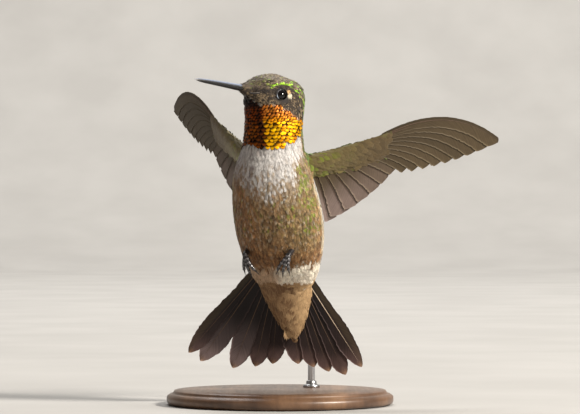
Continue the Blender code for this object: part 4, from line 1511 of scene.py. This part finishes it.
def wing_feather(group, wing, index, strip):
    """One primary or secondary, lapping over its neighbours."""
    widest = 3.3

    def towards(other, t, lap, free_edge):
        if 0 <= other < PRIMARIES + SECONDARIES:
            gap = np.linalg.norm(along_line(other, t) - along_line(index, t), axis=-1)
            return np.minimum(gap * lap, widest * blade_shape(t, 0.88))
        return np.minimum(free_edge, widest * blade_shape(t, 0.88))

    def halves(t):
        return towards(index - 1, t, 0.86, 0.9), towards(index + 1, t, 0.62, 0.8)

    def out_at(t, u):
        return -0.13 * u * ramp(t, 0.0, 0.15) - 0.05 * (1 - u * u) + 0.02

    def tint_at(t, u):
        inner = 1 - min(index / (SECONDARIES + 1.0), 1.0)
        base = WING_BROWN * chance.uniform(0.88, 1.1)
        # Lilac towards the tips of the inner feathers: a painted sheen.
        base = blend(base, WING_LILAC_SHEEN, inner * ramp(t, 0.2, 0.8) * 0.75)
        base = blend(base, WING_EDGE, 0.25 * ramp(np.abs(u), 0.8, 1.0))
        base = base * (1 - 0.30 * ramp(u, -0.15, 0.3) * ramp(u, 1.0, 0.75))[..., None]
        return base * (0.8 + 0.25 * t)[..., None]

    group.add_feather(lambda t: along_line(index, t), halves, wing.at, out_at, tint_at, 0.35, strip)


def make_wings(looks):
    """Primaries and secondaries of both wings."""
    for side, wing in WINGS.items():
        primaries = [f"wing_{side}_primary_{k + 1:02d}" for k in range(PRIMARIES)]
        secondaries = [f"wing_{side}_secondaries"]
        sets = (
            ("primaries", SECONDARIES, PRIMARIES, primaries),
            ("secondaries", 0, SECONDARIES, secondaries),
        )
        for name, first, count, nodes in sets:
            group = FeatherSet()
            for k in range(count):
                wing_feather(group, wing, first + k, strip_of(k, count))
            group.build(f"{name}_{side}", looks["flight"], "flight_feathers", *nodes)


def tail_at(across, along, out):
    """Points of the fan: across it, down it from its root, and out towards the belly."""
    down, left, facing = tail_axes()
    across, along, out = np.broadcast_arrays(across, along, out)
    return TAIL_ROOT + across[..., None] * left + along[..., None] * down + out[..., None] * facing


def make_tail(looks):
    """Ten feathers in an uneven fan, outermost last on each side."""
    group = FeatherSet()
    number = 0
    for side, sign in SIDES:
        spread = TAIL_SPREAD[side]
        for k, turn in enumerate(spread):
            angle = math.radians(turn)
            inner = math.radians(spread[k - 1]) if k else -angle
            outer = math.radians(spread[k + 1]) if k < 4 else angle + math.radians(9)

            def line(t, angle=angle, reach=TAIL_RADIUS[k]):
                r = TAIL_APEX - 1 + (reach - TAIL_APEX + 1) * t
                return np.stack([sign * r * math.sin(angle), r * math.cos(angle) - TAIL_APEX], -1)

            def halves(t, angle=angle, inner=inner, outer=outer, reach=TAIL_RADIUS[k], last=k == 4):
                r = TAIL_APEX - 1 + (reach - TAIL_APEX + 1) * t
                full = (3.3 if not last else 2.7) * blade_shape(t, 0.66)
                inward = np.minimum(r * (angle - inner) * 0.66, full)
                outward = np.minimum(r * (outer - angle) * 0.60, full * 0.85)
                if last:
                    outward = outward + 0.8 * ramp(t, 0.5, 0.0)
                return (outward, inward) if sign > 0 else (inward, outward)

            def out_at(t, u, k=k):
                outward = -u * sign
                return -0.15 * outward * ramp(t, 0.0, 0.2) + 0.05 * (k - 2) - 0.06 * u * u

            def tint_at(t, u, k=k):
                base = TAIL_DARK * chance.uniform(0.85, 1.15)
                tip = ramp(t + 0.05 * np.abs(u), 0.76, 0.98)
                # Painted greyish sheen on these feathers.
                if sign < 0 and k in SHEEN_PAINTED_TAIL:
                    base = blend(base, TAIL_SHEEN, 0.24 * ramp(t, 0.45, 0.8) + 0.56 * tip)
                else:
                    base = blend(base, TAIL_TIP, 0.12 * ramp(t, 0.35, 0.8) + 0.58 * tip)
                base = blend(base, TAIL_RIM, 0.45 * ramp(t, 0.93, 1.0))
                if k == 4:
                    base = blend(base, WING_BROWN, 0.45 * ramp(-u * sign, 0.1, 0.4))
                return blend(base, TAIL_TIP, 0.30 * ramp(np.abs(u), 0.88, 1.0))

            # The pale shaft of the outermost feather on the bird's left is a painted highlight.
            shaft = PALE_BUFF if k == 4 and sign > 0 else SHAFT_COLOR
            group.add_feather(line, halves, tail_at, out_at, tint_at, 0.55, strip_of(number, 10), shaft)
            number += 1
    nodes = [f"rectrix_{side}{k}" for side in "lr" for k in range(1, 6)]
    group.build("rectrices", looks["flight"], "tail_feathers", *nodes)


def dress_skin(item, skin, look):
    """The coat's own markings on the skin, and its unwrap."""
    colors = plumage(skin.verts)[0]
    for region, color in ((ARM_L, OLIVE), (ARM_R, OLIVE), (UNDERTAIL, BROWN), (UPPERTAIL, BACK)):
        colors[skin.region == region] = color
    paint(item.data, "tint", colors)
    item.data.materials.clear()
    item.data.materials.append(look)
    map_for_bake(item.data, unwrap(skin.verts, skin.region))


# ---------------------------------------------------------------- bill, eyes and feet

BILL_SIDES, BILL_STATIONS, BILL_PARTING = 14, 64, 0.10
BILL_TOP_REFLECTION = srgb(118, 128, 148)
BILL_SIDE = srgb(24, 24, 28)
BILL_UNDER = srgb(16, 14, 15)


def bill_half(name, sign, reach_share, share, node, look):
    """One half of the bill: a half-round section, flat where the halves meet, drawn to the tip."""
    root, along, up, left = bill_axes()
    verts, tints = [], []
    for k in range(BILL_STATIONS + 1):
        t = (k / BILL_STATIONS) ** 0.9
        width = 1.15 * bill_half_depth(t)
        depth = share * bill_half_depth(t)
        middle = root + along * BILL_REACH * reach_share * t - up * BILL_DROOP * t * t
        for n in range(BILL_SIDES + 1):
            turn = math.pi * n / BILL_SIDES
            side, high = math.cos(turn), math.sin(turn)
            ridge = 1 + 0.10 * math.exp(-(((turn - math.pi / 2) / 0.28) ** 2))
            groove = 0.16 * band(turn, math.pi * 0.24, 0.3) + 0.16 * band(turn, math.pi * 0.76, 0.3)
            groove = groove * ramp(t, 0.30, 0.05) * (sign > 0)
            reach = width * side * (1 - groove)
            lift = sign * (BILL_PARTING / 2 + depth * high**0.85 * ridge * (1 - 0.4 * groove))
            verts.append(middle + left * reach + up * lift)
            # Slate-blue along the top of the upper half: a painted sky reflection.
            reflection_share = ramp(high, 0.30, 0.62) * (sign > 0)
            side_color = BILL_UNDER if sign < 0 else BILL_SIDE
            color = blend(blend(side_color, BILL_TOP_REFLECTION, reflection_share), LORES, 0.45 * ramp(t, 0.85, 1.0))
            tints.append(color)
    row = BILL_SIDES + 1
    faces = ring_faces(BILL_STATIONS + 1, row)
    faces += [tuple(range(row)), tuple(BILL_STATIONS * row + n for n in reversed(range(row)))]
    half = Bunch()
    half.add(np.array(verts), faces, np.array(tints))
    item = half.build(name, look, "bill", node)
    item.data.set_sharp_from_angle(angle=math.radians(50))


def make_bill(looks):
    """The upper half, and the slightly shorter lower half."""
    bill_half("upper_mandible", 1, 1.0, 1.05, "bill_upper", looks["bill"])
    bill_half("lower_mandible", -1, 0.972, 0.90, "bill_lower", looks["bill"])


def tube_points(path, radii, sides):
    """Points and faces of a round tube with closed ends along a path."""
    path, radii = np.asarray(path, float), np.asarray(radii, float)
    run = unit(np.gradient(path, axis=0))
    side = unit(np.cross(run, np.array((0.31, 0.22, 0.92))))
    other = np.cross(run, side)
    turn = 2 * np.pi * np.arange(sides) / sides
    ring = side[:, None] * np.cos(turn)[None, :, None] + other[:, None] * np.sin(turn)[None, :, None]
    points = (path[:, None] + ring * radii[:, None, None]).reshape(-1, 3)
    return points, closed_tube_faces(len(path), sides)


def lathe(origin, axis, across, profile, sides, closed_start=False):
    """A profile of (radius, height) turned round an axis: points, faces, and each point's turn."""
    other = np.cross(axis, across)
    turn = 2 * np.pi * np.arange(sides) / sides
    ring = across * np.cos(turn)[:, None] + other * np.sin(turn)[:, None]
    points = np.concatenate([origin + axis * height + ring * radius for radius, height in profile])
    faces = ring_faces(len(profile), sides)
    if closed_start:
        faces.append(tuple(reversed(range(sides))))
    return points, faces, np.tile(turn, len(profile))


PUPIL = srgb(5, 4, 4)
IRIS = srgb(14, 9, 8)
GAPE_GLINT = srgb(158, 150, 140)
LID_DARK = srgb(40, 38, 42)
LID_PALE = srgb(206, 220, 238)
# The lid's section, from its opening and from the eyeball's surface there: outward and forth.
LID_PROFILE = (
    (-0.06, -0.08), (-0.01, 0.04), (0.09, 0.14), (0.17, 0.08), (0.25, -0.08), (0.42, -0.20), (0.60, -0.55),
)


def make_eyes(looks):
    """Glossy eyes, each in a lid of bare skin that runs out under the face feathers."""
    forward, left = turned(HEAD_TURN)
    for side, sign in SIDES:
        centre = HEAD_CENTRE + forward * EYE_FORWARD + left * sign * EYE_SIDE
        axis = unit(left * sign + forward * 0.06 + UP * 0.02)
        across = unit(np.cross(UP, axis))
        ball = Bunch()
        profile = []
        for k in range(40):
            turn = math.radians(0.5 + 4.5 * k)
            radius = EYE_RADIUS * (1 + 0.035 * math.exp(-((turn / 0.6) ** 2)))
            profile.append((radius * math.sin(turn), radius * math.cos(turn)))
        points, faces, _ = lathe(centre, axis, across, profile, 48, closed_start=True)
        polar = np.arccos(np.clip(unit(points - centre) @ axis, -1, 1))
        ball.add(points, faces, blend(PUPIL, IRIS, ramp(polar, 0.52, 0.60) * ramp(polar, 1.1, 0.8)))
        ball.build(f"eyeball_{side}", looks["eye"], "eye", f"eye_{side}")
        edge = math.sqrt(EYE_RADIUS**2 - LID_OPENING**2)
        rim = [(LID_OPENING + outward, edge + forth) for outward, forth in LID_PROFILE]
        lid = Bunch()
        points, faces, turn = lathe(centre, axis, across, rim, 64)
        away = np.linalg.norm(np.cross(points - centre, axis), axis=1)
        low = unit(unit(points - centre) - axis * 0.6) @ unit(forward * 0.45 - UP)
        pale = ramp(low, 0.15, 0.55) * ramp(away, LID_OPENING + 0.20, LID_OPENING + 0.12)
        folds = np.sin(turn * 22)[:, None] * band(away, LID_OPENING + 0.15, 0.2)[:, None]
        points = points + axis * 0.03 * folds
        lid.add(points, faces, blend(LID_DARK, LID_PALE, pale))
        lid.build(f"lid_{side}", looks["lid"], "foot")


def make_gape(skin, looks):
    """Fleshy line of the mouth, running back from the bill on each side of the face, with a thin pale line
    above it as a painted glint.
    """
    forward, left = turned(HEAD_TURN)
    lips = Bunch()
    for _, sign in SIDES:
        # The thin pale line over the dark one is a painted glint.
        for lift, color, radius in ((0.04, NEARLY_BLACK, 0.20), (0.22, GAPE_GLINT, 0.05)):
            path = []
            for k in range(15):
                t = k / 14
                spot = HEAD_CENTRE + forward * mix(9.9, 7.3, t) + left * sign * mix(1.6, 3.3, t)
                spot = spot + UP * (mix(0.55, 0.45, t) - 0.15 * math.sin(math.pi * t) + lift)
                near, facing = skin.nearest([spot])
                path.append(near[0] + facing[0] * mix(0.22, 0.16, t))
            radii = [radius * (0.35 + math.sin(math.pi * (0.12 + 0.82 * k / 14))) / 1.2 for k in range(15)]
            points, faces = tube_points(path, radii, 10)
            lips.add(points, faces, color)
    lips.build("gape", looks["lid"], "bill")


# Legs and feet. A toe goes so far inward and down, and bulges so far forward.
LEG_SIDE, LEG_FRONT, ANKLE_HEIGHT = 5.9, 8.5, 39.0
TOES = {
    "inner": (3.7, 5.0, 0.9), "middle": (1.9, 5.7, 0.7),
    "outer": (-0.1, 5.1, 0.5), "hind": (1.2, 3.4, -1.1),
}
TOE_STEPS, TOE_SIDES = 40, 14
TOE_COLOR = srgb(30, 27, 29)
PAD_HIGHLIGHT = srgb(132, 128, 130)
CLAW_COLOR = srgb(16, 14, 15)


def make_feet(looks):
    """Short shank, and four padded toes with hooked claws, hanging half closed."""
    forward, left = turned(BODY_TURN)
    for side, sign in SIDES:
        foot = Bunch()
        ankle = spine(np.array(ANKLE_HEIGHT)) + left * sign * LEG_SIDE + forward * LEG_FRONT
        knee = ankle + UP * 2.2 - forward * 4.0
        path = [knee + (ankle - knee) * t for t in np.linspace(0.25, 1.06, 22)]
        scutes = np.array([0.62 + 0.05 * abs(math.sin(1.5 * k)) for k in range(22)])
        points, faces = tube_points(path, scutes * np.linspace(1.25, 1.0, 22), 16)
        foot.add(points, faces, TOE_COLOR)
        for across, drop, bulge in TOES.values():
            path, radii = [], []
            for k in range(TOE_STEPS):
                t = k / (TOE_STEPS - 1)
                swing = math.sin(math.pi * min(t * 1.15, 1.0))
                spot = ankle - left * sign * across * t - UP * drop * t + forward * bulge * swing
                path.append(spot)
                pads = 0.40 * (1 - 0.28 * t) * (1 + 0.2 * abs(math.sin(6.2 * math.pi * t)))
                radii.append(pads * ramp(t, 0.80, 0.72) + 0.02)
            count = int(TOE_STEPS * 0.76)
            points, faces = tube_points(path[:count], np.maximum(radii[:count], 0.17), TOE_SIDES)
            # Pale rings on the swell of each pad: painted highlights.
            swell = np.abs(np.sin(6.2 * math.pi * np.linspace(0, 1, TOE_STEPS)[:count]))
            edges = ramp(np.repeat(swell, TOE_SIDES), 0.80, 1.0)
            foot.add(points, faces, blend(TOE_COLOR, PAD_HIGHLIGHT, 0.6 * edges))
            hook = []
            for k in range(count - 4, TOE_STEPS):
                t = (k - count + 4) / (TOE_STEPS - count + 3)
                curl = -forward * 0.55 * t * t if bulge > 0 else forward * 0.4 * t * t
                hook.append(path[k] + curl)
            points, faces = tube_points(hook, 0.26 * (1 - np.linspace(0, 0.93, len(hook)) ** 1.3), 12)
            foot.add(points, faces, CLAW_COLOR)
        foot.build(f"claws_{side}", looks["foot"], "foot", f"foot_{side}")


# ---------------------------------------------------------------- display stand

BASE_HEIGHT = 3.4
# Radius and height along the base's underside and edge, up to where its top edge turns in.
BASE_EDGE = (
    (0.02, 0.0), (27.2, 0.0), (27.75, 0.25), (28.0, 0.8),
    (28.0, 1.7), (27.8, 2.15), (27.35, 2.35), (27.2, 2.55),
)
BASE_TOP = ((26.1, BASE_HEIGHT), (18.0, BASE_HEIGHT), (0.02, BASE_HEIGHT))
ROD_RADIUS, ROD_BACK, ROD_ENTRY_HEIGHT = 0.9, 19.0, 45.0
COLLAR = (
    (ROD_RADIUS, 0.0), (2.1, 0.0), (2.1, 0.45), (1.9, 0.7),
    (1.35, 0.8), (1.3, 1.5), (1.15, 1.7), (ROD_RADIUS, 1.75),
)
WALNUT = srgb(90, 60, 40)
STEEL = srgb(150, 150, 152)


def make_stand(looks):
    """Turned round base, and a bent rod in a small collar."""
    right = np.array((1.0, 0, 0))
    bends = [k * math.pi / 12 for k in range(1, 6)]
    rounding = [(27.2 - math.sin(turn), BASE_HEIGHT - 0.85 * math.cos(turn)) for turn in bends]
    base = Bunch()
    points, faces, _ = lathe(-PLACE, UP, right, [*BASE_EDGE, *rounding, *BASE_TOP], 128)
    base.add(points, faces, WALNUT)
    base.build("stand_turned_base", looks["wood"], "stand_wood", "stand_base")
    forward, _ = turned(BODY_TURN)
    entry = spine(np.array(ROD_ENTRY_HEIGHT)) - forward * 6.0
    foot = spine(np.array(ROD_ENTRY_HEIGHT)) - forward * ROD_BACK
    low = np.array((foot[0], foot[1], BASE_HEIGHT - 1.2 - PLACE[2]))
    bend = np.array((foot[0], foot[1], ROD_ENTRY_HEIGHT - 8.0))
    corner = np.array((foot[0], foot[1], ROD_ENTRY_HEIGHT))
    path = [low + (bend - low) * t for t in np.linspace(0, 1, 12)]
    for t in np.linspace(0, 1, 25)[1:]:
        path.append(bend * (1 - t) ** 2 + corner * 2 * t * (1 - t) + entry * t * t)
    rod = Bunch()
    points, faces = tube_points(path, [ROD_RADIUS] * len(path), 24)
    rod.add(points, faces, STEEL)
    top = np.array((foot[0], foot[1], BASE_HEIGHT - 0.02 - PLACE[2]))
    points, faces, _ = lathe(top, UP, right, COLLAR, 40)
    rod.add(points, faces, STEEL)
    rod.build("stand_bent_rod", looks["steel"], "stand_steel", "stand_rod")


looks = make_looks()
make_stage(look_floor())
make_light_and_camera()
skin_piece = make_skin()
skin = Skin(skin_piece)
dress_skin(skin_piece, skin, looks["skin"])
make_coat(skin, looks)
make_frontal_feathers(skin, looks)
make_gorget(skin, looks)
make_tail_coverts(skin, looks)
make_wing_coverts(skin, looks)
make_wings(looks)
make_tail(looks)
make_bill(looks)
make_eyes(looks)
make_gape(skin, looks)
make_feet(looks)
make_stand(looks)
